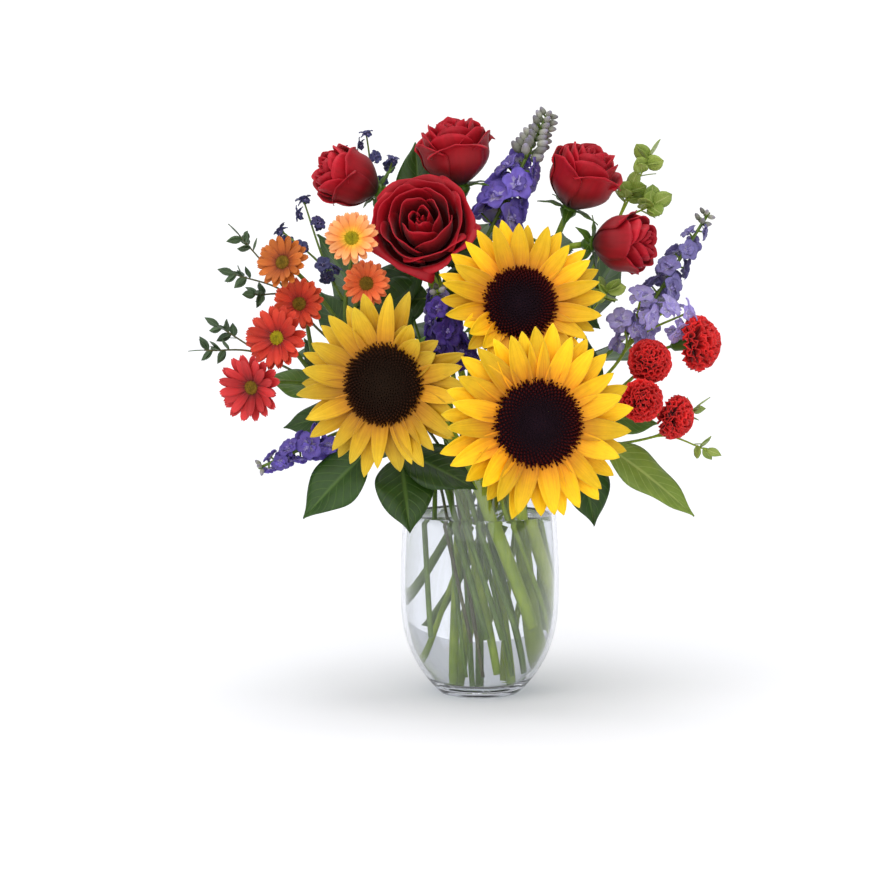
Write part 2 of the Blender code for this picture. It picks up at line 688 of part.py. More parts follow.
def build_plants():
    """Every cut stem of the bouquet."""
    for name, plant in SUNFLOWERS.items():
        sunflower(name, plant)
    for name, plant in ROSES.items():
        rose(name, plant)

    daisy_spray(
        "daisy_spray_high",
        {
            "slot": (0.0205, -92), "thick": 0.0022,
            "fork": (-0.088, -0.020, 0.085), "fork_way": (-0.5, -0.2, 1),
            "leaves": [
                (1.0, (-0.45, 0.5, 0.7), (-0.3, -0.7, 0.5), 0.046, 0.024),
                (0.8, (0.45, 0.35, 0.8), (0.0, -0.8, 0.5), 0.050, 0.026),
            ],
        },
        {
            "daisy_peach": ((-0.086, -0.052, 0.156), (-5, 15), 0.0185),
            "daisy_amber": ((-0.077, -0.038, 0.126), (4, 5), 0.0165),
            "daisy_rust": ((-0.132, -0.044, 0.140), (-20, 14), 0.0185),
        },
    )
    daisy_spray(
        "daisy_spray_low",
        {
            "slot": (0.031, -133), "thick": 0.0022,
            "fork": (-0.100, -0.018, 0.050), "fork_way": (-1, -0.2, 0.7),
            "leaves": [
                (1.0, (-0.85, 0.10, 0.30), (-0.2, -0.7, 0.7), 0.044, 0.024),
                (0.93, (-0.6, 0.2, 0.9), (-0.3, -0.7, 0.3), 0.046, 0.022),
                (0.8, (-0.85, 0.15, -0.15), (-0.3, -0.8, 0.5), 0.050, 0.026),
            ],
        },
        {
            "daisy_coral": ((-0.122, -0.030, 0.112), (-10, 10), 0.0185),
            "daisy_red": ((-0.136, -0.046, 0.090), (-18, 6), 0.0225),
            "daisy_crimson": ((-0.152, -0.060, 0.058), (-22, -4), 0.0235),
        },
    )
    carnation_spray(
        "carnation_spray_near",
        {
            "slot": (0.031, 10), "thick": 0.0018,
            "fork": (0.082, -0.014, 0.044), "fork_way": (1, -0.2, 0.6),
            "leaves": [
                (0.80, (0.10, 0.15, 1.0), (0.2, -0.9, 0.3), 0.050, 0.028),
                (0.8, (0.9, 0.2, -0.05), (0.2, -0.8, 0.5), 0.052, 0.026),
            ],
        },
        {
            "carnation_bright": ((0.114, -0.038, 0.075), (10, 18), 0.0150),
            "carnation_low": ((0.107, -0.054, 0.048), (5, -6), 0.0145),
        },
    )
    carnation_spray(
        "carnation_spray_far",
        {"slot": (0.031, 38), "thick": 0.0018, "fork": (0.102, 0.004, 0.046), "fork_way": (1, 0.0, 0.6)},
        {
            "carnation_side": ((0.152, -0.018, 0.086), (62, 8), 0.0190),
            "carnation_edge": ((0.134, -0.034, 0.035), (50, -12), 0.0150),
        },
    )

    larkspur(
        "larkspur_top",
        {
            "slot": (0.0, 0), "thick": 0.0022,
            "base": (0.006, 0.004, 0.160), "tip": (0.047, 0.014, 0.242),
            "florets": 18, "wide": 0.0135, "spread": 0.015,
        },
        PETAL_VIOLET,
    )
    larkspur(
        "larkspur_right",
        {
            "slot": (0.031, 66), "thick": 0.0022,
            "base": (0.118, 0.000, 0.112), "tip": (0.157, 0.004, 0.174),
            "florets": 13, "wide": 0.0115, "spread": 0.0110,
        },
        PETAL_VIOLET,
    )
    larkspur(
        "larkspur_centre",
        {
            "slot": (0.031, -66), "thick": 0.0020,
            "base": (-0.020, -0.032, 0.068), "tip": (-0.030, -0.044, 0.122),
            "florets": 12, "wide": 0.0120, "spread": 0.0100,
        },
        PETAL_VIOLET,
    )
    larkspur(
        "larkspur_low_left",
        {
            "slot": (0.031, -120), "thick": 0.0020,
            "base": (-0.100, -0.034, 0.024), "tip": (-0.150, -0.040, 0.002),
            "florets": 12, "wide": 0.0115, "spread": 0.0100, "reach": (0.5, 0.4),
        },
        PETAL_VIOLET,
    )
    branched(
        "statice_right",
        {"slot": (0.031, 52), "thick": 0.0016, "fork": (0.098, -0.008, 0.078), "fork_way": (0.5, -0.5, 1)},
        PETAL_VIOLET,
        [(0.093, -0.034, 0.103), (0.108, -0.036, 0.120), (0.129, -0.030, 0.112), (0.144, -0.018, 0.108)],
        floret_tuft(0.0088, 3),
    )
    branched(
        "statice_high_left",
        {"slot": (0.0205, -160), "thick": 0.0015, "fork": (-0.068, 0.034, 0.168), "fork_way": (-0.3, 0, 1)},
        PETAL_VIOLET,
        [(-0.079, 0.026, 0.230), (-0.096, 0.030, 0.218), (-0.060, 0.024, 0.212)],
        floret_tuft(0.0042, 3),
    )
    branched(
        "statice_left",
        {"slot": (0.0205, -109), "thick": 0.0015, "fork": (-0.100, 0.000, 0.125), "fork_way": (-0.5, 0, 1)},
        PETAL_VIOLET,
        [(-0.122, 0.008, 0.184), (-0.138, 0.004, 0.163), (-0.107, -0.022, 0.139)],
        floret_tuft(0.0050, 3),
    )
    branched(
        "sprig_left_high",
        {"slot": (0.0205, -142), "thick": 0.0013, "fork": (-0.128, 0.012, 0.112), "fork_way": (-0.7, 0, 1)},
        LEAF_GREEN,
        [(-0.165, 0.004, 0.158), (-0.170, 0.008, 0.132), (-0.154, -0.006, 0.118)],
        leaf_tuft(0.012, 0.0065, 5),
    )
    branched(
        "sprig_left_low",
        {"slot": (0.031, -146), "thick": 0.0013, "fork": (-0.146, 0.006, 0.074), "fork_way": (-1, 0, 0.6)},
        LEAF_GREEN,
        [(-0.189, -0.008, 0.080), (-0.180, 0.004, 0.096)],
        leaf_tuft(0.012, 0.006, 6, 0.8),
    )
    branched(
        "bupleurum_right",
        {"slot": (0.0205, 82), "thick": 0.0015, "fork": (0.092, 0.024, 0.160), "fork_way": (0.5, 0, 1)},
        LEAF_PALE,
        [(0.117, 0.018, 0.212), (0.104, 0.022, 0.190), (0.120, 0.014, 0.180)],
        leaf_tuft(0.015, 0.012, 5),
    )
    branched(
        "bupleurum_low",
        {"slot": (0.0205, 20), "thick": 0.0013, "fork": (0.072, -0.012, 0.100), "fork_way": (0.5, -0.2, 1)},
        LEAF_PALE,
        [(0.086, -0.030, 0.122), (0.074, -0.026, 0.118)],
        leaf_tuft(0.014, 0.011, 4),
    )
    branched(
        "sprig_right_low",
        {"slot": (0.031, 24), "thick": 0.0013, "fork": (0.118, -0.006, 0.020), "fork_way": (1, 0, 0.3)},
        LEAF_PALE,
        [(0.148, -0.016, 0.042), (0.154, -0.022, 0.013)],
        leaf_tuft(0.012, 0.0065, 4),
    )

    salal(
        "salal_left",
        {"slot": (0.031, -106), "thick": 0.0020,
         "tip": (-0.072, -0.048, 0.018), "tip_way": (-1, -0.6, 0.1)},
        [
            (1.0, (-0.85, -0.2, -0.75), (-0.2, -0.8, 0.6), 0.060, 0.040),
            (0.75, (0.15, -0.75, -0.85), (0.1, -0.8, 0.5), 0.056, 0.040),
            (0.78, (0.85, -0.45, -0.32), (0.0, -0.8, 0.6), 0.056, 0.034),
        ],
    )
    salal(
        "salal_right",
        {"slot": (0.031, -8), "thick": 0.0020, "tip": (0.076, -0.022, 0.022), "tip_way": (1, -0.4, 0.1)},
        [
            (1.0, (0.85, -0.15, -0.55), (0.3, -0.75, 0.6), 0.078, 0.032),
            (0.8, (0.25, -0.45, -0.9), (0.3, -0.8, 0.4), 0.054, 0.036),
        ],
    )
    salal(
        "salal_high",
        {"slot": (0.0105, -160), "thick": 0.0018, "tip": (-0.041, 0.027, 0.162), "tip_way": (-0.3, 0, 1)},
        [
            (1.0, (-0.05, -0.05, 1.0), (0.1, -0.9, -0.1), 0.054, 0.032),
            (0.9, (-0.2, 1.0, 0.5), (0, -0.3, 0.9), 0.050, 0.030),
            (0.55, (-0.5, 0.9, 0.3), (-0.2, -0.2, 0.9), 0.052, 0.032),
        ],
    )
    salal(
        "salal_back_left",
        {"slot": (0.031, 178), "thick": 0.0020, "tip": (-0.075, 0.060, 0.090), "tip_way": (-0.5, 0.6, 1)},
        [
            (1.0, (-0.4, 0.4, 0.9), (0.3, 0.6, 0.6), 0.074, 0.050),
            (0.75, (-0.9, 0.5, 0.2), (-0.1, 0.4, 0.9), 0.074, 0.050),
            (0.6, (0.3, 0.9, 0.3), (0.0, 0.2, 0.9), 0.074, 0.050),
            (0.35, (-0.6, 0.8, -0.3), (-0.2, 0.5, 0.8), 0.062, 0.040),
        ],
    )
    salal(
        "salal_back_right",
        {"slot": (0.031, 92), "thick": 0.0020, "tip": (0.070, 0.064, 0.090), "tip_way": (0.5, 0.6, 1)},
        [
            (1.0, (0.4, 0.4, 0.9), (-0.3, 0.6, 0.6), 0.074, 0.050),
            (0.75, (0.9, 0.5, 0.2), (0.1, 0.4, 0.9), 0.074, 0.050),
            (0.6, (-0.3, 0.9, 0.3), (0.0, 0.2, 0.9), 0.074, 0.050),
            (0.35, (0.6, 0.8, -0.3), (0.2, 0.5, 0.8), 0.062, 0.040),
        ],
    )


for leftover in list(bpy.data.objects):
    bpy.data.objects.remove(leftover)

GLASS = material("glass", (0.93, 0.96, 0.96), 0.02, 0.35)
WATER = material("water", (0.88, 0.94, 0.93), 0.02, 0.35)
PETAL_YELLOW = material("petal_yellow", (0.86, 0.56, 0.02), 0.6)
DISC_BROWN = material("disc_brown", (0.045, 0.015, 0.010), 0.85)
PETAL_RED = material("petal_red", (0.40, 0.010, 0.020), 0.5)
PETAL_ORANGE = material("petal_orange", (0.72, 0.10, 0.03), 0.55)
PETAL_SCARLET = material("petal_scarlet", (0.60, 0.02, 0.02), 0.55)
PETAL_VIOLET = material("petal_violet", (0.22, 0.14, 0.46), 0.6)
STEM_GREEN = material("stem_green", (0.20, 0.33, 0.06), 0.5)
LEAF_GREEN = material("leaf_green", (0.05, 0.13, 0.03), 0.4)
LEAF_PALE = material("leaf_pale", (0.25, 0.36, 0.08), 0.45)


def main():
    """The vase, the plants, and the water with a channel for each stem that stands in it."""
    placed("glass_vase", vase_mesh(), GLASS)
    build_plants()
    water = placed("water", water_mesh(), WATER)
    cutter = placed("channels", channels_mesh(), WATER)
    cutter.hide_render = True
    cutter.display_type = "WIRE"
    cut = water.modifiers.new("channels", "BOOLEAN")
    cut.object = cutter
    cut.solver = "EXACT"


main()
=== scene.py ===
"""The finished look of a sunflower bouquet in a clear glass vase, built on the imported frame.

Heads are modelled facing +Z from their own base, leaves along +Z with their upper face
towards +Y, and both are then turned and placed where the plant carries them. Every stem
follows the florist's spiral that the frame's stems follow, so each piece stands in for its
own node. The front of the bouquet is towards -Y.
"""

from __future__ import annotations

import logging
import math
import random
from collections.abc import Callable
from dataclasses import dataclass, field
from enum import Enum

import bpy
import numpy as np
from mathutils import Matrix, Vector


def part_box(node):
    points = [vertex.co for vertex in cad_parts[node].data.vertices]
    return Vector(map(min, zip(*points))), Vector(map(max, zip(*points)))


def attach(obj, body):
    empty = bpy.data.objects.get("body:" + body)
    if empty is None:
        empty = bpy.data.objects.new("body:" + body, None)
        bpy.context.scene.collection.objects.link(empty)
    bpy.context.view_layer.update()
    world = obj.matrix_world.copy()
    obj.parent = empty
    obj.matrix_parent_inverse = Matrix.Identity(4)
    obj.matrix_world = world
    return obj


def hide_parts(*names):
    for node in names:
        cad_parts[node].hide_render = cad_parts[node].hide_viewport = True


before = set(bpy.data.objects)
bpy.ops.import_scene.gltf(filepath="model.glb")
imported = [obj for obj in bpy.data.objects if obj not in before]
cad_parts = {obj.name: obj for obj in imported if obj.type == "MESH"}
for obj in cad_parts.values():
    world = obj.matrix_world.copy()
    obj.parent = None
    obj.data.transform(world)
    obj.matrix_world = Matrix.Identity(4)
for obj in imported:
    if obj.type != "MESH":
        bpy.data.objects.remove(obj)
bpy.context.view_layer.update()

log = logging.getLogger("bouquet")

Colour = tuple[float, float, float]
Place = tuple[float, float, float]
Grid = Callable[[np.ndarray, np.ndarray], np.ndarray]

ROOT = "root"
TONE = "tone"
UV_MAP = "UVMap"
GOLDEN_ANGLE = math.radians(137.5)
WELD = 1e-6


# --------------------------------------------------------------------- numbers


def display(red: int, green: int, blue: int) -> Colour:
    """A screen colour, 0 to 255 a channel, as linear light.

    Args:
        red: The red channel.
        green: The green channel.
        blue: The blue channel.

    Returns:
        The same colour as a shader takes it.
    """
    shares = (channel / 255 for channel in (red, green, blue))
    return tuple(s / 12.92 if s <= 0.04045 else ((s + 0.055) / 1.055) ** 2.4 for s in shares)


def heading(yaw: float, pitch: float) -> Vector:
    """The direction a head looks.

    Args:
        yaw: Degrees to the right of the front.
        pitch: Degrees above level.

    Returns:
        A unit vector.
    """
    yaw, pitch = math.radians(yaw), math.radians(pitch)
    return Vector((math.sin(yaw) * math.cos(pitch), -math.cos(yaw) * math.cos(pitch), math.sin(pitch)))


def facing(place: Vector, direction: Vector, spin: float = 0.0) -> Matrix:
    """The matrix that carries a head modelled along +Z to its place.

    Args:
        place: Where the head's base goes.
        direction: The way it faces.
        spin: Degrees it is turned about its own axis first.

    Returns:
        A rotation and a move.
    """
    turn = Vector(direction).normalized().to_track_quat("Z", "Y").to_matrix().to_4x4()
    return Matrix.Translation(place) @ turn @ Matrix.Rotation(math.radians(spin), 4, "Z")


def across(direction: Vector, angle: float) -> Vector:
    """A unit vector square to direction, turned by angle about it."""
    return Matrix.Rotation(angle, 3, direction) @ direction.orthogonal().normalized()


def scaled(x: float, y: float, z: float) -> Matrix:
    """A matrix that scales along the three axes."""
    return Matrix.Diagonal((x, y, z, 1.0))


def bezier(first: Vector, second: Vector, third: Vector, fourth: Vector, steps: int) -> list[Vector]:
    """Points of a cubic curve, without its first.

    Args:
        first: Where the curve starts.
        second: Its first handle.
        third: Its second handle.
        fourth: Where it ends.
        steps: How many points are made.

    Returns:
        The points in order.
    """
    points = []
    for i in range(1, steps + 1):
        t = i / steps
        points.append(
            first * (1 - t) ** 3 + second * 3 * t * (1 - t) ** 2 + third * 3 * t * t * (1 - t) + fourth * t**3
        )
    return points


def tapered(points: list[Vector], thick: float, thin: float) -> list[float]:
    """A radius for each point of a stem.

    Args:
        points: The stem's centre line.
        thick: The radius at its start.
        thin: The radius at its end.

    Returns:
        The radii, thinning evenly with length.
    """
    lengths = [0.0]
    for before, after in zip(points, points[1:]):
        lengths.append(lengths[-1] + (after - before).length)
    return [thick + (thin - thick) * length / lengths[-1] for length in lengths]


def smoothstep(values: np.ndarray, low: float, high: float) -> np.ndarray:
    """Zero below low, one above high and an even ease between."""
    share = np.clip((values - low) / (high - low), 0, 1)
    return share * share * (3 - 2 * share)


# ---------------------------------------------------------------------- meshes


def deselect() -> None:
    """Clears the selection."""
    bpy.ops.object.select_all(action="DESELECT")


def pick(obj: bpy.types.Object) -> None:
    """Makes one object the only selected one and the active one."""
    deselect()
    obj.select_set(True)
    bpy.context.view_layer.objects.active = obj


def corners(mesh: bpy.types.Mesh) -> np.ndarray:
    """The mesh's points as rows of x, y and z."""
    points = np.empty(len(mesh.vertices) * 3, np.float32)
    mesh.vertices.foreach_get("co", points)
    return points.reshape(-1, 3)


def move_corners(mesh: bpy.types.Mesh, points: np.ndarray) -> None:
    """Puts the mesh's points at the given rows of x, y and z."""
    mesh.vertices.foreach_set("co", np.ascontiguousarray(points, np.float32).ravel())
    mesh.update()


def apply_modifier(obj: bpy.types.Object, kind: str, **settings: object) -> None:
    """Adds a modifier to the active object and applies it.

    Args:
        obj: The object, which is picked first.
        kind: The modifier's type.
        **settings: Its settings.
    """
    pick(obj)
    modifier = obj.modifiers.new("made", kind)
    for name, value in settings.items():
        setattr(modifier, name, value)
    bpy.ops.object.modifier_apply(modifier=modifier.name)


def clean(obj: bpy.types.Object) -> None:
    """Merges doubles and turns the faces outwards."""
    pick(obj)
    bpy.ops.object.mode_set(mode="EDIT")
    bpy.ops.mesh.select_all(action="SELECT")
    bpy.ops.mesh.remove_doubles(threshold=WELD)
    bpy.ops.mesh.normals_make_consistent(inside=False)
    bpy.ops.object.mode_set(mode="OBJECT")
    bpy.ops.object.shade_smooth()


def plate(shape: Grid, finish: bpy.types.Material, cells: tuple[int, int], thickness: float) -> bpy.types.Object:
    """A petal or a leaf: a grid drawn to its shape, then given a wall.

    Args:
        shape: Takes the grid's place across, -1 to 1, and along, 0 to 1, and gives points.
        finish: The plate's material.
        cells: How many cells there are across and along.
        thickness: The wall.

    Returns:
        The plate, with its grid as a UV map.
    """
    deselect()
    bpy.ops.mesh.primitive_grid_add(x_subdivisions=cells[0], y_subdivisions=cells[1], size=2)
    made = bpy.context.object
    grid = corners(made.data)
    move_corners(made.data, shape(grid[:, 0], (grid[:, 1] + 1) / 2))
    apply_modifier(made, "SOLIDIFY", thickness=thickness, offset=0.0)
    bpy.ops.object.shade_smooth()
    made.data.materials.append(finish)
    return made


def lathe(profile: list[tuple[float, float]], steps: int, finish: bpy.types.Material) -> bpy.types.Object:
    """A solid of revolution about Z.

    Args:
        profile: Radius and height of each point, from axis to axis.
        steps: How many segments there are round it.
        finish: Its material.

    Returns:
        The solid, closed and smooth.
    """
    mesh = bpy.data.meshes.new("lathe")
    edges = [(i, i + 1) for i in range(len(profile) - 1)]
    mesh.from_pydata([(radius, 0.0, height) for radius, height in profile], edges, [])
    made = bpy.data.objects.new("lathe", mesh)
    bpy.context.scene.collection.objects.link(made)
    pick(made)
    bpy.ops.object.mode_set(mode="EDIT")
    bpy.ops.mesh.select_all(action="SELECT")
    bpy.ops.mesh.spin(steps=steps, angle=2 * math.pi, center=(0, 0, 0), axis=(0, 0, 1))
    bpy.ops.object.mode_set(mode="OBJECT")
    clean(made)
    made.data.materials.append(finish)
    return made


def cone(sides: int, wide: float, narrow: float, depth: float, finish: bpy.types.Material) -> bpy.types.Object:
    """A small closed cone that stands on the origin along +Z.

    Args:
        sides: How many flats it has.
        wide: The radius at its foot.
        narrow: The radius at its top.
        depth: Its height.
        finish: Its material.

    Returns:
        The cone.
    """
    deselect()
    bpy.ops.mesh.primitive_cone_add(
        vertices=sides, radius1=wide, radius2=narrow, depth=depth, location=(0, 0, depth / 2)
    )
    bpy.ops.object.transform_apply(location=True, rotation=False, scale=False)
    bpy.ops.object.shade_smooth()
    made = bpy.context.object
    made.data.materials.append(finish)
    return made


def bud_ball(segments: int, rings: int, radius: float, tall: float, finish: bpy.types.Material) -> bpy.types.Object:
    """An egg-shaped bud that stands on the origin along +Z.

    Args:
        segments: Its flats round Z.
        rings: Its flats from pole to pole.
        radius: Its widest radius.
        tall: Its height.
        finish: Its material.

    Returns:
        The bud.
    """
    deselect()
    bpy.ops.mesh.primitive_uv_sphere_add(segments=segments, ring_count=rings, radius=1)
    made = bpy.context.object
    points = corners(made.data)
    rise = (points[:, 2] + 1) / 2
    pinch = 1.12 - 0.45 * rise
    points = np.column_stack((points[:, 0] * radius * pinch, points[:, 1] * radius * pinch, rise * tall))
    move_corners(made.data, points)
    bpy.ops.object.shade_smooth()
    made.data.materials.append(finish)
    return made


def bars(lines: list[tuple[list[Vector], list[float]]], finish: bpy.types.Material, sides: int = 2) -> bpy.types.Object:
    """Round stems along their centre lines, as one object.

    Args:
        lines: The points and radii of each stem.
        finish: Their material.
        sides: How finely each is rounded: twice this and four more flats.

    Returns:
        The closed stems.
    """
    curve = bpy.data.curves.new("bars", "CURVE")
    curve.dimensions = "3D"
    curve.bevel_depth = 1.0
    curve.bevel_resolution = sides
    curve.use_fill_caps = True
    for points, radii in lines:
        spline = curve.splines.new("POLY")
        spline.points.add(len(points) - 1)
        for knot, place, radius in zip(spline.points, points, radii):
            knot.co = (*place, 1.0)
            knot.radius = radius
    made = bpy.data.objects.new("bars", curve)
    bpy.context.scene.collection.objects.link(made)
    pick(made)
    bpy.ops.object.convert(target="MESH")
    made = bpy.context.object
    clean(made)
    made.data.materials.clear()
    made.data.materials.append(finish)
    return made


class Bunch:
    """Shapes that are copied into place and then joined into one piece."""

    def __init__(self) -> None:
        """Starts empty."""
        self.made: list[bpy.types.Object] = []

    def add(self, obj: bpy.types.Object, tone: float = 0.5) -> None:
        """Takes in an object that is already in place.

        Args:
            obj: The object.
            tone: How light its finish is, 0 to 1.
        """
        mesh = obj.data
        values = mesh.attributes.new(TONE, "FLOAT", "POINT")
        values.data.foreach_set("value", np.full(len(mesh.vertices), tone, np.float32))
        self.made.append(obj)

    def copy(self, shape: bpy.types.Object, matrix: Matrix, tone: float = 0.5) -> None:
        """Takes in a copy of a shape.

        Args:
            shape: The modelled shape.
            matrix: Where the copy goes.
            tone: How light its finish is, 0 to 1.
        """
        mesh = shape.data.copy()
        mesh.transform(matrix)
        twin = bpy.data.objects.new("copy", mesh)
        bpy.context.scene.collection.objects.link(twin)
        self.add(twin, tone)

    def joined(self) -> bpy.types.Object:
        """Joins what was taken in.

        Returns:
            One object at the origin.
        """
        deselect()
        for obj in self.made:
            obj.select_set(True)
        bpy.context.view_layer.objects.active = self.made[0]
        if len(self.made) > 1:
            bpy.ops.object.join()
        return bpy.context.view_layer.objects.active


def discard(*shapes: bpy.types.Object) -> None:
    """Removes shapes that were only there to be copied."""
    for shape in shapes:
        bpy.data.objects.remove(shape)


def settle(piece: bpy.types.Object, name: str, node: str) -> None:
    """Names a finished piece, hangs it on the frame and reports it.

    Args:
        piece: The finished object.
        name: Its name.
        node: The frame's node that it stands for.
    """
    piece.name = name
    piece.data.name = name
    piece.data.update()
    piece.update_tag()
    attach(piece, ROOT)
    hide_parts(node)
    low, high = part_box(node)
    points = corners(piece.data)
    below = (Vector(points.min(0)) - low) * 1000
    above = (Vector(points.max(0)) - high) * 1000
    faces = len(piece.data.polygons)
    log.info("%-26s %6d faces, box against its node %s %s mm", name, faces, rounded(below), rounded(above))


def rounded(vector: Vector) -> str:
    """A vector's parts to a tenth, for a report."""
    return "(%.1f %.1f %.1f)" % tuple(vector)


# -------------------------------------------------------------------- finishes


class Tree:
    """A node tree, with a short way to add and join its nodes."""

    def __init__(self, tree: bpy.types.NodeTree) -> None:
        """Wraps a node tree."""
        self.tree = tree

    def add(self, kind: str, settings: dict | None = None, **sockets: object) -> bpy.types.Node:
        """Adds a node.

        Args:
            kind: The node's type.
            settings: Its own properties.
            **sockets: Its inputs by name, with _ for a space: a value, or a socket to join.

        Returns:
            The node.
        """
        node = self.tree.nodes.new(kind)
        for name, value in (settings or {}).items():
            setattr(node, name, value)
        for name, value in sockets.items():
            key = int(name[1:]) if name[0] == "n" and name[1:].isdigit() else name.replace("_", " ")
            if isinstance(value, bpy.types.NodeSocket):
                self.tree.links.new(value, node.inputs[key])
            else:
                node.inputs[key].default_value = value
        return node

    def math(self, operation: str, first: object, second: object = 0.0, third: object = 0.0) -> bpy.types.NodeSocket:
        """A Math node's result.

        Args:
            operation: What it works out.
            first: Its first value or socket.
            second: Its second.
            third: Its third.

        Returns:
            The output socket.
        """
        return self.add("ShaderNodeMath", {"operation": operation}, n0=first, n1=second, n2=third).outputs[0]

    def mix(self, share: object, first: object, second: object, blend: str = "MIX") -> bpy.types.NodeSocket:
        """A colour mix.

        Args:
            share: How much of the second there is.
            first: The first colour.
            second: The second colour.
            blend: How they are mixed.

        Returns:
            The output socket.
        """
        node = self.add("ShaderNodeMix", {"data_type": "RGBA", "blend_type": blend}, n0=share, n6=first, n7=second)
        return node.outputs[2]

    def ramp(self, value: bpy.types.NodeSocket, stops: list[tuple[float, Colour]]) -> bpy.types.NodeSocket:
        """A colour ramp.

        Args:
            value: What it reads.
            stops: Each stop's place and colour.

        Returns:
            The colour socket.
        """
        node = self.add("ShaderNodeValToRGB", Fac=value)
        elements = node.color_ramp.elements
        while len(elements) < len(stops):
            elements.new(1.0)
        for element, (place, colour) in zip(elements, stops):
            element.position = place
            element.color = (*colour, 1.0)
        return node.outputs["Color"]


def mottle_group() -> bpy.types.NodeTree:
    """Soft uneven colouring that several finishes share.

    Returns:
        The group: Scale and Contrast in, Value out, around one.
    """
    if "mottle" in bpy.data.node_groups:
        return bpy.data.node_groups["mottle"]
    group = bpy.data.node_groups.new("mottle", "ShaderNodeTree")
    group.interface.new_socket("Scale", in_out="INPUT", socket_type="NodeSocketFloat")
    group.interface.new_socket("Contrast", in_out="INPUT", socket_type="NodeSocketFloat")
    group.interface.new_socket("Value", in_out="OUTPUT", socket_type="NodeSocketFloat")
    tree = Tree(group)
    given = tree.add("NodeGroupInput")
    place = tree.add("ShaderNodeTexCoord").outputs["Object"]
    noise = tree.add("ShaderNodeTexNoise", Vector=place, Scale=given.outputs["Scale"], Detail=4.0, Roughness=0.6)
    centred = tree.math("SUBTRACT", noise.outputs["Fac"], 0.5)
    value = tree.math("MULTIPLY_ADD", centred, given.outputs["Contrast"], 1.0)
    tree.add("NodeGroupOutput", Value=value)
    return group


def streak_group() -> bpy.types.NodeTree:
    """Fine veins that run the length of a petal or a blade, different on each copy.

    Returns:
        The group: Across and Along in, Value out from 0 to 1.
    """
    if "streaks" in bpy.data.node_groups:
        return bpy.data.node_groups["streaks"]
    group = bpy.data.node_groups.new("streaks", "ShaderNodeTree")
    group.interface.new_socket("Across", in_out="INPUT", socket_type="NodeSocketFloat")
    group.interface.new_socket("Along", in_out="INPUT", socket_type="NodeSocketFloat")
    group.interface.new_socket("Value", in_out="OUTPUT", socket_type="NodeSocketFloat")
    tree = Tree(group)
    given = tree.add("NodeGroupInput")
    uv = tree.add("ShaderNodeSeparateXYZ", Vector=tree.add("ShaderNodeUVMap", {"uv_map": UV_MAP}).outputs[0])
    tone = tree.add("ShaderNodeAttribute", {"attribute_name": TONE}).outputs["Fac"]
    place = tree.add(
        "ShaderNodeCombineXYZ",
        X=tree.math("MULTIPLY", uv.outputs[0], given.outputs["Across"]),
        Y=tree.math("MULTIPLY", uv.outputs[1], given.outputs["Along"]),
        Z=tree.math("MULTIPLY", tone, 23.0),
    )
    noise = tree.add("ShaderNodeTexNoise", Vector=place.outputs[0], Scale=1.0, Detail=3.0, Roughness=0.55)
    tree.add("NodeGroupOutput", Value=noise.outputs["Fac"])
    return group


def vein_group() -> bpy.types.NodeTree:
    """A leaf's midrib and side veins.

    Returns:
        The group: Pairs and Slant in, Value out, one on a vein and zero between.
    """
    if "veins" in bpy.data.node_groups:
        return bpy.data.node_groups["veins"]
    group = bpy.data.node_groups.new("veins", "ShaderNodeTree")
    group.interface.new_socket("Pairs", in_out="INPUT", socket_type="NodeSocketFloat")
    group.interface.new_socket("Slant", in_out="INPUT", socket_type="NodeSocketFloat")
    group.interface.new_socket("Value", in_out="OUTPUT", socket_type="NodeSocketFloat")
    tree = Tree(group)
    given = tree.add("NodeGroupInput")
    uv = tree.add("ShaderNodeSeparateXYZ", Vector=tree.add("ShaderNodeUVMap", {"uv_map": UV_MAP}).outputs[0])
    aside = tree.math("ABSOLUTE", tree.math("MULTIPLY_ADD", uv.outputs[0], 2.0, -1.0))
    rib = tree.add("ShaderNodeMapRange", Value=aside, From_Min=0.03, From_Max=0.10, To_Min=1.0, To_Max=0.0)
    slanted = tree.math("SUBTRACT", uv.outputs[1], tree.math("MULTIPLY", aside, given.outputs["Slant"]))
    wave = tree.math("PINGPONG", tree.math("MULTIPLY", slanted, given.outputs["Pairs"]), 0.5)
    side = tree.add("ShaderNodeMapRange", Value=wave, From_Min=0.0, From_Max=0.11, To_Min=0.6, To_Max=0.0)
    tree.add("NodeGroupOutput", Value=tree.math("MAXIMUM", rib.outputs[0], side.outputs[0]))
    return group


def group_value(tree: Tree, group: bpy.types.NodeTree, **sockets: float) -> bpy.types.NodeSocket:
    """A shared effect placed in a material.

    Args:
        tree: The material's tree.
        group: The effect.
        **sockets: Its inputs.

    Returns:
        Its Value output.
    """
    node = tree.tree.nodes.new("ShaderNodeGroup")
    node.node_tree = group
    for name, value in sockets.items():
        node.inputs[name].default_value = value
    return node.outputs["Value"]


def new_material(name: str) -> tuple[bpy.types.Material, Tree, bpy.types.Node]:
    """A material with a plain Principled shader.

    Args:
        name: The material's name.

    Returns:
        The material, its tree and its shader.
    """
    made = bpy.data.materials.new(name)
    made.use_nodes = True
    return made, Tree(made.node_tree), made.node_tree.nodes["Principled BSDF"]


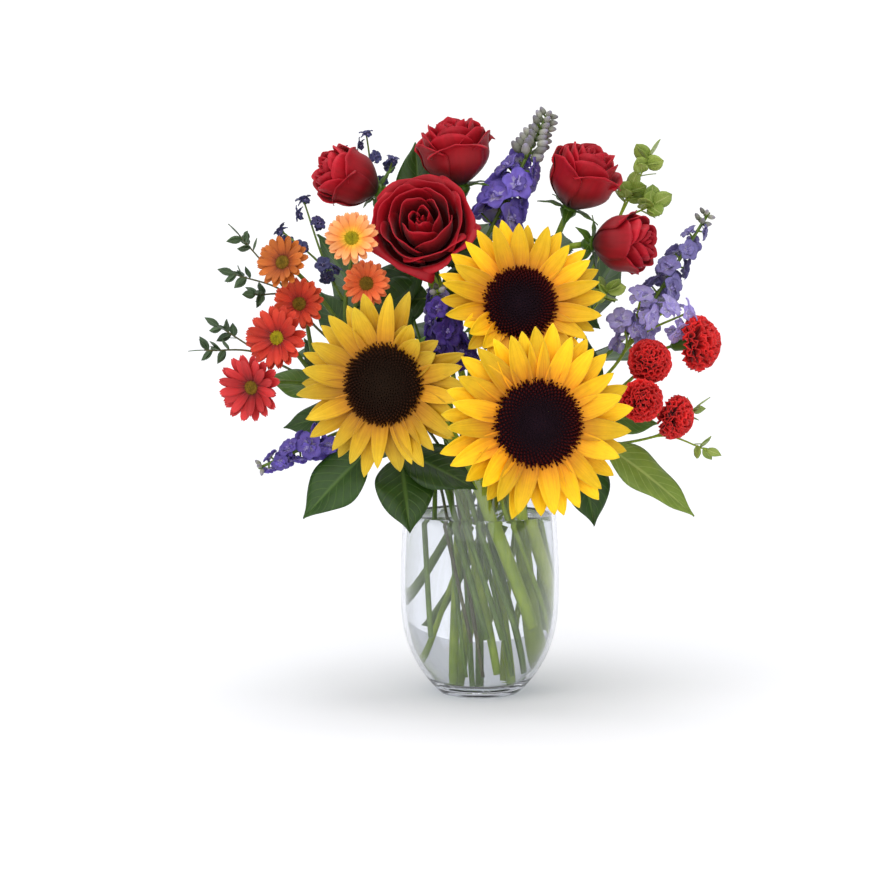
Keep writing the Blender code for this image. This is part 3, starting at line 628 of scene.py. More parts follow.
@dataclass(frozen=True)
class PetalFinish:
    """A petal's colour from its base to its tip, with fine veins along it."""

    name: str
    slot: str
    stops: tuple[tuple[float, Colour], ...]
    rough: float = 0.55
    sheen: float = 0.15
    veins: float = 16.0
    wander: float = 0.25
    spread: float = 0.5
    relief: float = 0.25
    glow: float = 0.0

    def made(self) -> bpy.types.Material:
        """The material, made once."""
        if self.name in bpy.data.materials:
            return bpy.data.materials[self.name]
        material, tree, shader = new_material(self.name)
        uv = tree.add("ShaderNodeSeparateXYZ", Vector=tree.add("ShaderNodeUVMap", {"uv_map": UV_MAP}).outputs[0])
        streak = group_value(tree, streak_group(), Across=self.veins, Along=1.5)
        shift = tree.math("MULTIPLY_ADD", streak, self.wander, -self.wander / 2)
        colour = tree.ramp(tree.math("ADD", uv.outputs[1], shift), list(self.stops))
        tone = tree.add("ShaderNodeAttribute", {"attribute_name": TONE}).outputs["Fac"]
        level = tree.math("MULTIPLY_ADD", tone, self.spread, 1 - self.spread / 2)
        uneven = group_value(tree, mottle_group(), Scale=160.0, Contrast=0.35)
        value = tree.math("MULTIPLY", level, uneven)
        vein_shade = tree.math("MULTIPLY_ADD", streak, 0.35, 0.82)
        value = tree.math("MULTIPLY", value, vein_shade)
        toned = tree.add("ShaderNodeHueSaturation", Color=colour, Value=value)
        material.node_tree.links.new(toned.outputs[0], shader.inputs["Base Color"])
        bump = tree.add("ShaderNodeBump", Height=streak, Strength=self.relief, Distance=0.0006)
        material.node_tree.links.new(bump.outputs[0], shader.inputs["Normal"])
        shader.inputs["Roughness"].default_value = self.rough
        shader.inputs["Sheen Weight"].default_value = self.sheen
        shader.inputs["Sheen Roughness"].default_value = 0.4
        shader.inputs["Specular IOR Level"].default_value = 0.3
        if self.glow:
            shader.inputs["Subsurface Weight"].default_value = self.glow
            shader.inputs["Subsurface Radius"].default_value = (1.0, 0.5, 0.1)
            shader.inputs["Subsurface Scale"].default_value = 0.002
        return material


@dataclass(frozen=True)
class LeafFinish:
    """A leaf's green with a paler midrib and side veins."""

    name: str
    slot: str
    body: Colour
    light: Colour
    rib: Colour
    rough: float = 0.42
    pairs: float = 9.0
    slant: float = 0.28
    coat: float = 0.06

    def made(self) -> bpy.types.Material:
        """The material, made once."""
        if self.name in bpy.data.materials:
            return bpy.data.materials[self.name]
        material, tree, shader = new_material(self.name)
        veins = group_value(tree, vein_group(), Pairs=self.pairs, Slant=self.slant)
        uneven = group_value(tree, mottle_group(), Scale=90.0, Contrast=1.6)
        tone = tree.add("ShaderNodeAttribute", {"attribute_name": TONE}).outputs["Fac"]
        share = tree.math("MULTIPLY", tree.math("ADD", tone, uneven), 0.5)
        share = tree.add("ShaderNodeMapRange", Value=share, From_Min=0.3, From_Max=1.2).outputs[0]
        green = tree.mix(share, (*self.body, 1), (*self.light, 1))
        veined = tree.mix(tree.math("MULTIPLY", veins, 0.55), green, (*self.rib, 1))
        links = material.node_tree.links
        links.new(veined, shader.inputs["Base Color"])
        bump = tree.add("ShaderNodeBump", {"invert": True}, Height=veins, Strength=0.5, Distance=0.0005)
        links.new(bump.outputs[0], shader.inputs["Normal"])
        rough = tree.math("MULTIPLY_ADD", uneven, 0.12, self.rough - 0.12)
        links.new(rough, shader.inputs["Roughness"])
        shader.inputs["Coat Weight"].default_value = self.coat
        shader.inputs["Coat Roughness"].default_value = 0.3
        shader.inputs["Specular IOR Level"].default_value = 0.35
        return material


@dataclass(frozen=True)
class StemFinish:
    """A stem's green, drawn out along its length."""

    name: str
    slot: str
    dark: Colour
    light: Colour
    rough: float = 0.5

    def made(self) -> bpy.types.Material:
        """The material, made once."""
        if self.name in bpy.data.materials:
            return bpy.data.materials[self.name]
        material, tree, shader = new_material(self.name)
        place = tree.add("ShaderNodeTexCoord").outputs["Object"]
        drawn = tree.add("ShaderNodeMapping", Vector=place, Scale=(420.0, 420.0, 60.0))
        fibre = tree.add("ShaderNodeTexNoise", Vector=drawn.outputs[0], Scale=1.0, Detail=4.0)
        tone = tree.add("ShaderNodeAttribute", {"attribute_name": TONE}).outputs["Fac"]
        wide = group_value(tree, mottle_group(), Scale=45.0, Contrast=1.4)
        share = tree.math("MULTIPLY", tree.math("ADD", fibre.outputs["Fac"], tone), 0.5)
        share = tree.math("MULTIPLY", share, wide)
        share = tree.add("ShaderNodeMapRange", Value=share, From_Min=0.2, From_Max=0.85).outputs[0]
        links = material.node_tree.links
        links.new(tree.mix(share, (*self.dark, 1), (*self.light, 1)), shader.inputs["Base Color"])
        bump = tree.add("ShaderNodeBump", Height=fibre.outputs["Fac"], Strength=0.3, Distance=0.0003)
        links.new(bump.outputs[0], shader.inputs["Normal"])
        shader.inputs["Roughness"].default_value = self.rough
        return material


@dataclass(frozen=True)
class GrainFinish:
    """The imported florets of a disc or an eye, whose tone runs from its middle to its rim."""

    name: str
    slot: str
    stops: tuple[tuple[float, Colour], ...]
    rough: float = 0.8

    def made(self) -> bpy.types.Material:
        """The material, made once."""
        if self.name in bpy.data.materials:
            return bpy.data.materials[self.name]
        material, tree, shader = new_material(self.name)
        tone = tree.add("ShaderNodeAttribute", {"attribute_name": TONE}).outputs["Fac"]
        uneven = group_value(tree, mottle_group(), Scale=520.0, Contrast=1.5)
        shifted = tree.math("MULTIPLY_ADD", tree.math("SUBTRACT", uneven, 1.0), 0.18, tone)
        colour = tree.ramp(shifted, list(self.stops))
        toned = tree.add("ShaderNodeHueSaturation", Color=colour, Value=uneven)
        links = material.node_tree.links
        links.new(toned.outputs[0], shader.inputs["Base Color"])
        bump = tree.add("ShaderNodeBump", Height=uneven, Strength=0.5, Distance=0.0004)
        links.new(bump.outputs[0], shader.inputs["Normal"])
        shader.inputs["Roughness"].default_value = self.rough
        shader.inputs["Specular IOR Level"].default_value = 0.12
        return material


@dataclass(frozen=True)
class ClearFinish:
    """Glass or water: real refraction to the eye, clear to the light that passes through, and a painted edge shade that
    darkens its colour where the surface turns away from the eye.
    """

    name: str
    slot: str
    tint: Colour
    # edge is the painted edge shade: a darker colour mixed in where the surface turns away from the eye.
    edge: Colour
    index: float
    rough: float

    def made(self) -> bpy.types.Material:
        """The material, made once."""
        if self.name in bpy.data.materials:
            return bpy.data.materials[self.name]
        material, tree, shader = new_material(self.name)
        links = material.node_tree.links
        # Painted edge shade: the colour runs from the tint to the darker edge colour as the surface turns away from the
        # eye.
        turned = tree.math("POWER", tree.add("ShaderNodeLayerWeight", Blend=0.5).outputs["Facing"], 2.5)
        links.new(tree.mix(turned, (*self.tint, 1), (*self.edge, 1)), shader.inputs["Base Color"])
        shader.inputs["Transmission Weight"].default_value = 1.0
        shader.inputs["Specular IOR Level"].default_value = 0.3
        shader.inputs["IOR"].default_value = self.index
        uneven = group_value(tree, mottle_group(), Scale=12.0, Contrast=1.0)
        rough = tree.math("MULTIPLY", uneven, self.rough)
        links.new(rough, shader.inputs["Roughness"])
        swell = group_value(tree, mottle_group(), Scale=28.0, Contrast=1.0)
        bump = tree.add("ShaderNodeBump", Height=swell, Strength=0.06, Distance=0.001)
        links.new(bump.outputs[0], shader.inputs["Normal"])
        path = tree.add("ShaderNodeLightPath")
        lamp = tree.math("MAXIMUM", path.outputs["Is Shadow Ray"], path.outputs["Is Diffuse Ray"])
        clear = tree.add("ShaderNodeBsdfTransparent", Color=(*self.tint, 1))
        both = tree.add("ShaderNodeMixShader", n0=lamp, n1=shader.outputs[0], n2=clear.outputs[0])
        links.new(both.outputs[0], material.node_tree.nodes["Material Output"].inputs["Surface"])
        return material


# The second colour of each is a painted edge shade, darker than its tint.
GLASS = ClearFinish("clear_glass", "glass", (0.91, 0.92, 0.95), (0.66, 0.67, 0.75), 1.45, 0.02)
WATER = ClearFinish("clear_water", "water", (0.97, 0.985, 0.98), (0.93, 0.95, 0.96), 1.33, 0.01)

SUN_STOPS = (
    (0.05, display(178, 84, 0)),
    (0.32, display(226, 146, 0)),
    (0.62, display(242, 184, 0)),
    (1.0, display(246, 204, 14)),
)
SUN_PETAL = PetalFinish("sun_petal", "petal_yellow", SUN_STOPS, glow=0.0)
SUN_PETAL_DEEP = PetalFinish(
    "sun_petal_deep",
    "petal_yellow",
    (
        (0.05, display(146, 74, 2)),
        (0.35, display(190, 128, 6)),
        (0.65, display(210, 162, 14)),
        (1.0, display(224, 190, 40)),
    ),
)
DISC_MAROON = GrainFinish(
    "disc_maroon",
    "disc_brown",
    ((0.0, display(24, 12, 30)), (0.4, display(26, 6, 12)), (0.7, display(58, 6, 10)), (1.0, display(84, 20, 8))),
)
DISC_UMBER = GrainFinish(
    "disc_umber",
    "disc_brown",
    ((0.0, display(34, 24, 10)), (0.45, display(34, 16, 6)), (0.75, display(44, 20, 8)), (1.0, display(74, 36, 6))),
)
# The middle stops are the rose's own crimson; the near-black base is painted shade for the bloom's crevices and the
# bright tip a painted highlight on the petal edges.
ROSE_PETAL = PetalFinish(
    "rose_petal",
    "petal_red",
    ((0.05, display(60, 0, 6)), (0.4, display(132, 2, 14)), (0.85, display(172, 6, 26)), (1.0, display(188, 12, 36))),
    rough=0.55,
    sheen=0.06,
    veins=9.0,
    relief=0.15,
)


def ray_finish(name: str, base: Colour, body: Colour, tip: Colour) -> PetalFinish:
    """A daisy's ray finish.

    Args:
        name: The finish's name.
        base: The colour at the eye.
        body: The colour half way.
        tip: The colour at the tip.

    Returns:
        The finish.
    """
    return PetalFinish(name, "petal_orange", ((0.08, base), (0.4, body), (1.0, tip)), spread=0.4, veins=8.0)


RAY_PEACH = ray_finish("ray_peach", display(238, 190, 40), display(250, 150, 60), display(255, 176, 116))
RAY_AMBER = ray_finish("ray_amber", display(214, 90, 30), display(240, 100, 44), display(250, 132, 74))
RAY_RUST = ray_finish("ray_rust", display(120, 44, 10), display(178, 84, 22), display(204, 112, 40))
RAY_CORAL = ray_finish("ray_coral", display(150, 30, 16), display(206, 54, 26), display(226, 84, 44))
RAY_RED = ray_finish("ray_red", display(130, 22, 14), display(192, 40, 24), display(216, 66, 40))
RAY_CRIMSON = ray_finish("ray_crimson", display(110, 12, 14), display(176, 24, 26), display(206, 54, 54))
EYE_GREEN = GrainFinish(
    "eye_green",
    "petal_orange",
    ((0.0, display(120, 120, 20)), (0.6, display(168, 152, 28)), (1.0, display(196, 150, 30))),
)
EYE_OLIVE = GrainFinish(
    "eye_olive",
    "petal_orange",
    ((0.0, display(96, 84, 22)), (0.6, display(132, 100, 30)), (1.0, display(110, 54, 20))),
)
FRILL = PetalFinish(
    "frill",
    "petal_scarlet",
    ((0.1, display(110, 4, 8)), (0.6, display(196, 16, 20)), (1.0, display(226, 36, 34))),
    spread=0.45,
    veins=11.0,
)
SPUR_VIOLET = PetalFinish(
    "spur_violet",
    "petal_violet",
    ((0.0, display(214, 206, 228)), (0.35, display(112, 92, 176)), (1.0, display(92, 78, 164))),
    spread=0.7,
    veins=7.0,
)
SPUR_LILAC = PetalFinish(
    "spur_lilac",
    "petal_violet",
    ((0.0, display(236, 232, 240)), (0.35, display(176, 164, 214)), (1.0, display(150, 136, 200))),
    spread=0.5,
    veins=7.0,
)
SPUR_DEEP = PetalFinish(
    "spur_deep",
    "petal_violet",
    ((0.0, display(168, 150, 206)), (0.3, display(78, 52, 142)), (1.0, display(62, 42, 124))),
    spread=0.6,
    veins=7.0,
)
SPUR_MIST = PetalFinish(
    "spur_mist",
    "petal_violet",
    ((0.0, display(196, 192, 212)), (0.35, display(128, 118, 172)), (1.0, display(104, 98, 152))),
    spread=0.6,
    veins=7.0,
)
BUD_GREY = PetalFinish(
    "bud_grey",
    "petal_violet",
    ((0.0, display(96, 108, 72)), (0.5, display(140, 140, 126)), (1.0, display(124, 116, 142))),
    spread=0.9,
    veins=5.0,
)
PAPER_INDIGO = PetalFinish(
    "paper_indigo",
    "petal_violet",
    ((0.0, display(120, 122, 160)), (0.4, display(70, 72, 118)), (1.0, display(58, 58, 104))),
    spread=0.6,
    veins=7.0,
)
STALK_GREEN = StemFinish("stalk_green", "stem_green", display(86, 118, 4), display(172, 192, 40))
STALK_DEEP = StemFinish("stalk_deep", "stem_green", display(58, 86, 10), display(122, 150, 40))
STALK_BRIGHT = StemFinish("stalk_bright", "stem_green", display(116, 142, 10), display(198, 212, 70))
TWIG = StemFinish("twig", "leaf_green", display(60, 58, 30), display(112, 112, 62), rough=0.6)
LEAF_DEEP = LeafFinish("leaf_deep", "leaf_green", display(20, 42, 6), display(56, 92, 20), display(88, 118, 46))
LEAF_MID = LeafFinish("leaf_mid", "leaf_green", display(36, 66, 8), display(88, 124, 26), display(130, 156, 66))
LEAF_FRESH = LeafFinish("leaf_fresh", "leaf_green", display(66, 96, 22), display(138, 160, 62), display(176, 190, 104))
LEAF_SPRIG = LeafFinish("leaf_sprig", "leaf_green", display(44, 64, 40), display(88, 112, 74), display(120, 140, 104))
LEAF_LIME = LeafFinish("leaf_lime", "leaf_pale", display(104, 130, 40), display(172, 190, 92), display(200, 208, 130))


# ---------------------------------------------------------------- vase, spiral


def rim_height() -> float:
    """The height of the vase's rim, from the frame."""
    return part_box("glass_vase")[1].z


def above_rim(place: Place) -> Vector:
    """A place given by x, y and its height above the vase's rim."""
    return Vector((place[0], place[1], rim_height() + place[2]))


@dataclass
class Vase:
    """The clear glass vase, its water, and the spiral in which the stems stand."""

    height: float = field(default_factory=rim_height)
    water_top: float = field(default_factory=lambda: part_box("water")[1].z)
    belly_height: float = 0.080
    belly_radius: float = 0.055
    foot_radius: float = 0.0275
    mouth_radius: float = 0.0495
    wall: float = 0.003
    floor: float = 0.007
    below_power: float = 3.0
    above_power: float = 1.6
    waist_below_rim: float = 0.018
    spiral_rate: float = -11.5
    foot_clearance: float = 0.0012
    water_gap: float = 0.00015
    steps: int = 120

    def outer(self, height: float) -> float:
        """The glass's outer radius at a height."""
        if height < self.belly_height:
            share = (self.belly_height - height) / self.belly_height
            return self.belly_radius - (self.belly_radius - self.foot_radius) * share**self.below_power
        share = (height - self.belly_height) / (self.height - self.belly_height)
        return self.belly_radius - (self.belly_radius - self.mouth_radius) * share**self.above_power

    def inner(self, height: float) -> float:
        """The glass's inner radius at a height, one wall in, square to it."""
        step = 1e-4
        slope = (self.outer(height) - self.outer(height - step)) / step
        return self.outer(height) - self.wall * math.hypot(1, slope)

    def waist(self) -> float:
        """The height at which the stems are tied."""
        return self.height - self.waist_below_rim

    def spiral_point(self, ring: float, angle: float, height: float) -> Vector:
        """A stem's place at a height.

        Args:
            ring: Its distance from the axis at the waist.
            angle: Its angle there, in degrees.
            height: The height.

        Returns:
            The place on the stem's straight lower part.
        """
        turn = complex(1, self.spiral_rate * (height - self.waist()))
        place = complex(math.cos(math.radians(angle)), math.sin(math.radians(angle))) * ring * turn
        return Vector((place.real, place.imag, height))

    def cut_end(self, ring: float, angle: float, thick: float) -> float:
        """The height of a stem's cut end: as low as the floor and the wall let it go.

        Args:
            ring: Its distance from the axis at the waist.
            angle: Its angle there, in degrees.
            thick: Its radius.

        Returns:
            The height.
        """
        height, step = self.height / 2, 0.0005
        while height > self.floor + self.foot_clearance + thick * 0.5:
            lower = height - step
            corner = max(lower - thick * 0.5, self.floor + self.wall)
            centre = self.spiral_point(ring, angle, lower)
            if math.hypot(centre.x, centre.y) + thick + self.foot_clearance > self.inner(corner):
                break
            height = lower
        return height

    def glass_profile(self) -> list[tuple[float, float]]:
        """The glass's outline from the middle of its foot round the lip to the middle of its floor.

        Returns:
            Radius and height of each point.
        """
        lip, edge = self.wall / 2, 0.0016
        top = self.height - lip
        outside = [(0.0, 0.0012), (self.foot_radius * 0.62, 0.0010), (self.foot_radius * 0.80, 0.0)]
        outside += [(self.foot_radius - edge, 0.0), (self.outer(edge * 0.4) - edge * 0.25, edge * 0.35)]
        outside += [(self.outer(z), z) for z in np.linspace(edge, top, 46)]
        middle = self.mouth_radius - lip
        turn = np.linspace(0, math.pi, 7)[1:-1]
        rim = [(middle + lip * math.cos(a), top + lip * math.sin(a)) for a in turn]
        inside = [(self.inner(z), z) for z in np.linspace(top, self.floor + self.wall, 46)]
        bowl = self.inner(self.floor) - self.wall
        sag = [(bowl, self.floor + 0.0005), (bowl * 0.6, self.floor), (0.0, self.floor)]
        return outside + rim + inside + sag

    def water_profile(self) -> list[tuple[float, float]]:
        """The water's outline, with its edge drawn up the glass.

        Returns:
            Radius and height of each point.
        """
        low, gap, climb = self.floor + self.wall, self.water_gap, 0.0012
        bowl = self.inner(self.floor) - self.wall - gap
        profile = [(0.0, self.floor + gap), (bowl * 0.6, self.floor + gap), (bowl, self.floor + 0.0005 + gap)]
        profile += [(self.inner(z) - gap, z) for z in np.linspace(low, self.water_top, 30)]
        edge = self.inner(self.water_top) - gap
        profile += [(edge - climb * 0.6, self.water_top - climb * 0.55), (edge - climb * 2, self.water_top - climb)]
        profile.append((0.0, self.water_top - climb))
        return profile

    def build(self) -> None:
        """Makes the glass and the water."""
        glass = lathe(self.glass_profile(), self.steps, GLASS.made())
        settle(glass, "vase_glass", "glass_vase")
        water = lathe(self.water_profile(), self.steps, WATER.made())
        settle(water, "vase_water", "water")


VASE = Vase()


def width_below_rim(points: list[Vector]) -> float:
    """How far from the vase's axis a stem gets before it passes the rim.

    Args:
        points: The stem's centre line.

    Returns:
        The distance.
    """
    widest = 0.0
    for before, after in zip(points, points[1:]):
        if before.z < VASE.height < after.z:
            spot = before.lerp(after, (VASE.height - before.z) / (after.z - before.z))
            widest = max(widest, math.hypot(spot.x, spot.y))
        elif after.z <= VASE.height:
            widest = max(widest, math.hypot(after.x, after.y))
    return widest


@dataclass(frozen=True)
class Stem:
    """Where a cut stem stands in the spiral, how thick it is and how it bends on to its head."""

    ring: float
    angle: float
    thick: float
    reach: tuple[float, float] = (0.35, 0.3)
    finish: StemFinish = STALK_GREEN
    reach_step: float = 0.02
    longest_reach: float = 1.0
    lip_clearance: float = 0.0002
    coarse_steps: int = 6

    def bend(self, knee: Vector, rising: Vector, end: Vector, way: Vector, steps: int) -> list[Vector]:
        """The stem's bend above its waist, which holds to its straight line for longer near the lip.

        Args:
            knee: Where it leaves the waist.
            rising: The way it points there.
            end: Where it ends.
            way: The way it points there.
            steps: How many points it has.

        Returns:
            The points.
        """
        room = VASE.mouth_radius - VASE.wall - self.thick - self.lip_clearance
        span = (end - knee).length
        out, back = self.reach
        handle = end - way * span * back
        coarse = bezier(knee, knee + rising * span * out, handle, end, self.coarse_steps)
        while width_below_rim([knee] + coarse) > room and out < self.longest_reach:
            out += self.reach_step
            coarse = bezier(knee, knee + rising * span * out, handle, end, self.coarse_steps)
        return bezier(knee, knee + rising * span * out, handle, end, steps)

    def route(self, end: Vector, arrival: Vector, steps: int = 6, below: int = 0) -> list[Vector]:
        """The stem's centre line.

        Args:
            end: Where it ends.
            arrival: The way it points there.
            steps: How many points its bend has.
            below: How many points its straight part has between its ends.

        Returns:
            The points from its cut end up through the waist to its end.
        """
        low = VASE.cut_end(self.ring, self.angle, self.thick)
        foot = VASE.spiral_point(self.ring, self.angle, low)
        knee = VASE.spiral_point(self.ring, self.angle, VASE.waist())
        straight = [foot.lerp(knee, i / (below + 1)) for i in range(below + 1)]
        rising, way = (knee - foot).normalized(), Vector(arrival).normalized()
        return straight + [knee] + self.bend(knee, rising, end, way, steps)

    def line(self, end: Vector, arrival: Vector, thin: float, more: list[Vector] | None = None) -> tuple:
        """The stem as a bar takes it.

        Args:
            end: Where it ends.
            arrival: The way it points there.
            thin: Its end's share of its thickness.
            more: Points that follow its end.

        Returns:
            The points and the radii.
        """
        points = self.route(end, arrival, steps=20, below=5) + (more or [])
        return points, tapered(points, self.thick, self.thick * thin)


# ---------------------------------------------------------------------- leaves


@dataclass(frozen=True)
class Leaf:
    """One stalked leaf: its share of the way up the stem, how it grows and faces, and its size."""

    share: float
    grows: Place
    faces: Place
    length: float
    width: float
    tone: float = 0.5
    finish: LeafFinish = LEAF_DEEP


@dataclass(frozen=True)
class LeafShape:
    """The form of a leaf: its outline, fold and droop, and how its edge waves or is cut."""

    droop: float = 0.15
    fold: float = 0.12
    fullest: float = 0.76
    blunt: float = 0.96
    wave: float = 0.03
    teeth: float = 0.0
    cells: tuple[int, int] = (10, 22)
    wall: float = 0.0005

    def grid(self, length: float, width: float, phase: float) -> Grid:
        """The leaf's surface along +Z with its upper face towards +Y.

        Args:
            length: The leaf's length.
            width: Its width.
            phase: Where its waves start.

        Returns:
            The function that draws the grid.
        """

        def shape(u: np.ndarray, v: np.ndarray) -> np.ndarray:
            swell = np.maximum(np.sin(math.pi * np.clip(v, 0.0, 1.0) ** self.fullest), 0.0)
            half = width / 2 * swell**self.blunt
            half = np.maximum(half * (1 - 0.25 * smoothstep(v, 0.78, 0.96)), 0.0002)
            half = half * (1 + self.teeth * np.abs(u) * (np.abs((v * 17) % 1 - 0.5) * 2 - 0.5))
            groove = -0.03 * width * np.exp(-((u / 0.12) ** 2))
            sag = -self.droop * length * v**2 + self.fold * half * np.abs(u) ** 1.4
            ripple = self.wave * length * np.abs(u) ** 2 * np.sin(v * 11 + phase + np.sign(u)) * np.sin(math.pi * v)
            curl = -0.06 * width * u**4 * np.sin(math.pi * v)
            return np.column_stack((-u * half, sag + groove + ripple + curl, v * length))

        return shape


SALAL_LEAF = LeafShape()
ROSE_LEAF = LeafShape(teeth=0.16, wave=0.02, cells=(8, 34))
SMALL_LEAF = LeafShape(cells=(4, 6), wave=0.0, wall=0.0004, droop=0.1, fullest=0.9)
ROUND_LEAF = LeafShape(cells=(4, 6), wave=0.0, wall=0.0004, droop=0.1, blunt=0.55, fullest=0.95)


def leaf_turn(grows: Vector, faces: Vector) -> Matrix:
    """The turn of a leaf modelled along +Z with its upper face towards +Y.

    Args:
        grows: The way it grows.
        faces: The way its upper face looks.

    Returns:
        The rotation.
    """
    up = (faces - grows * faces.dot(grows)).normalized()
    return Matrix((up.cross(grows), up, grows)).transposed().to_4x4()


def spot_on(points: list[Vector], share: float) -> Vector:
    """A place on a stem above its waist.

    Args:
        points: The coarse centre line.
        share: The share of the way from the waist to its end.

    Returns:
        The place.
    """
    position = 1 + share * (len(points) - 2)
    before = min(int(position), len(points) - 2)
    return points[before].lerp(points[before + 1], position - before)


def hang_leaves(bunch: Bunch, points: list[Vector], leaves: tuple[Leaf, ...], form: LeafShape, stalk: StemFinish) -> None:
    """Adds a stem's leaves and their stalks.

    Args:
        bunch: The piece they belong to.
        points: The stem's coarse centre line.
        leaves: The leaves.
        form: Their form.
        stalk: The finish of their stalks.
    """
    for number, leaf in enumerate(leaves):
        spot = spot_on(points, leaf.share)
        way = Vector(leaf.grows).normalized()
        root = spot + way * leaf.length * 0.12
        bunch.add(bars([([spot, root, root + way * leaf.length * 0.1], [0.0011, 0.0009, 0.0005])], stalk.made(), 1))
        blade = plate(form.grid(leaf.length, leaf.width, number * 2.1), leaf.finish.made(), form.cells, form.wall)
        blade.data.transform(Matrix.Translation(root) @ leaf_turn(way, Vector(leaf.faces)))
        bunch.add(blade, leaf.tone)


# ------------------------------------------------------------------ sunflowers


@dataclass(frozen=True)
class RayShape:
    """A long pointed ray petal along +Y with its upper face towards +Z."""

    length: float
    width: float
    curl: float
    twist: float
    fold: float
    sway: float

    def grid(self, u: np.ndarray, v: np.ndarray) -> np.ndarray:
        """Draws the grid: broad above its middle, drawn to a point, with two soft pleats."""
        body = v**0.55 * (1 - v) ** 0.75 / 0.413
        half = self.width / 2 * np.maximum(body, 0.5 * (1 - v)) + 0.00012
        pleat = 0.06 * self.width * np.cos(u * 1.5 * math.pi) * np.sin(math.pi * v)
        x = u * half
        z = self.fold * half * u**2 + pleat
        turn = self.twist * v
        curl = self.curl * self.length * v**2
        return np.column_stack(
            (
                x * np.cos(turn) - z * np.sin(turn) + self.sway * self.length * v**2,
                v * self.length,
                x * np.sin(turn) + z * np.cos(turn) + curl,
            )
        )


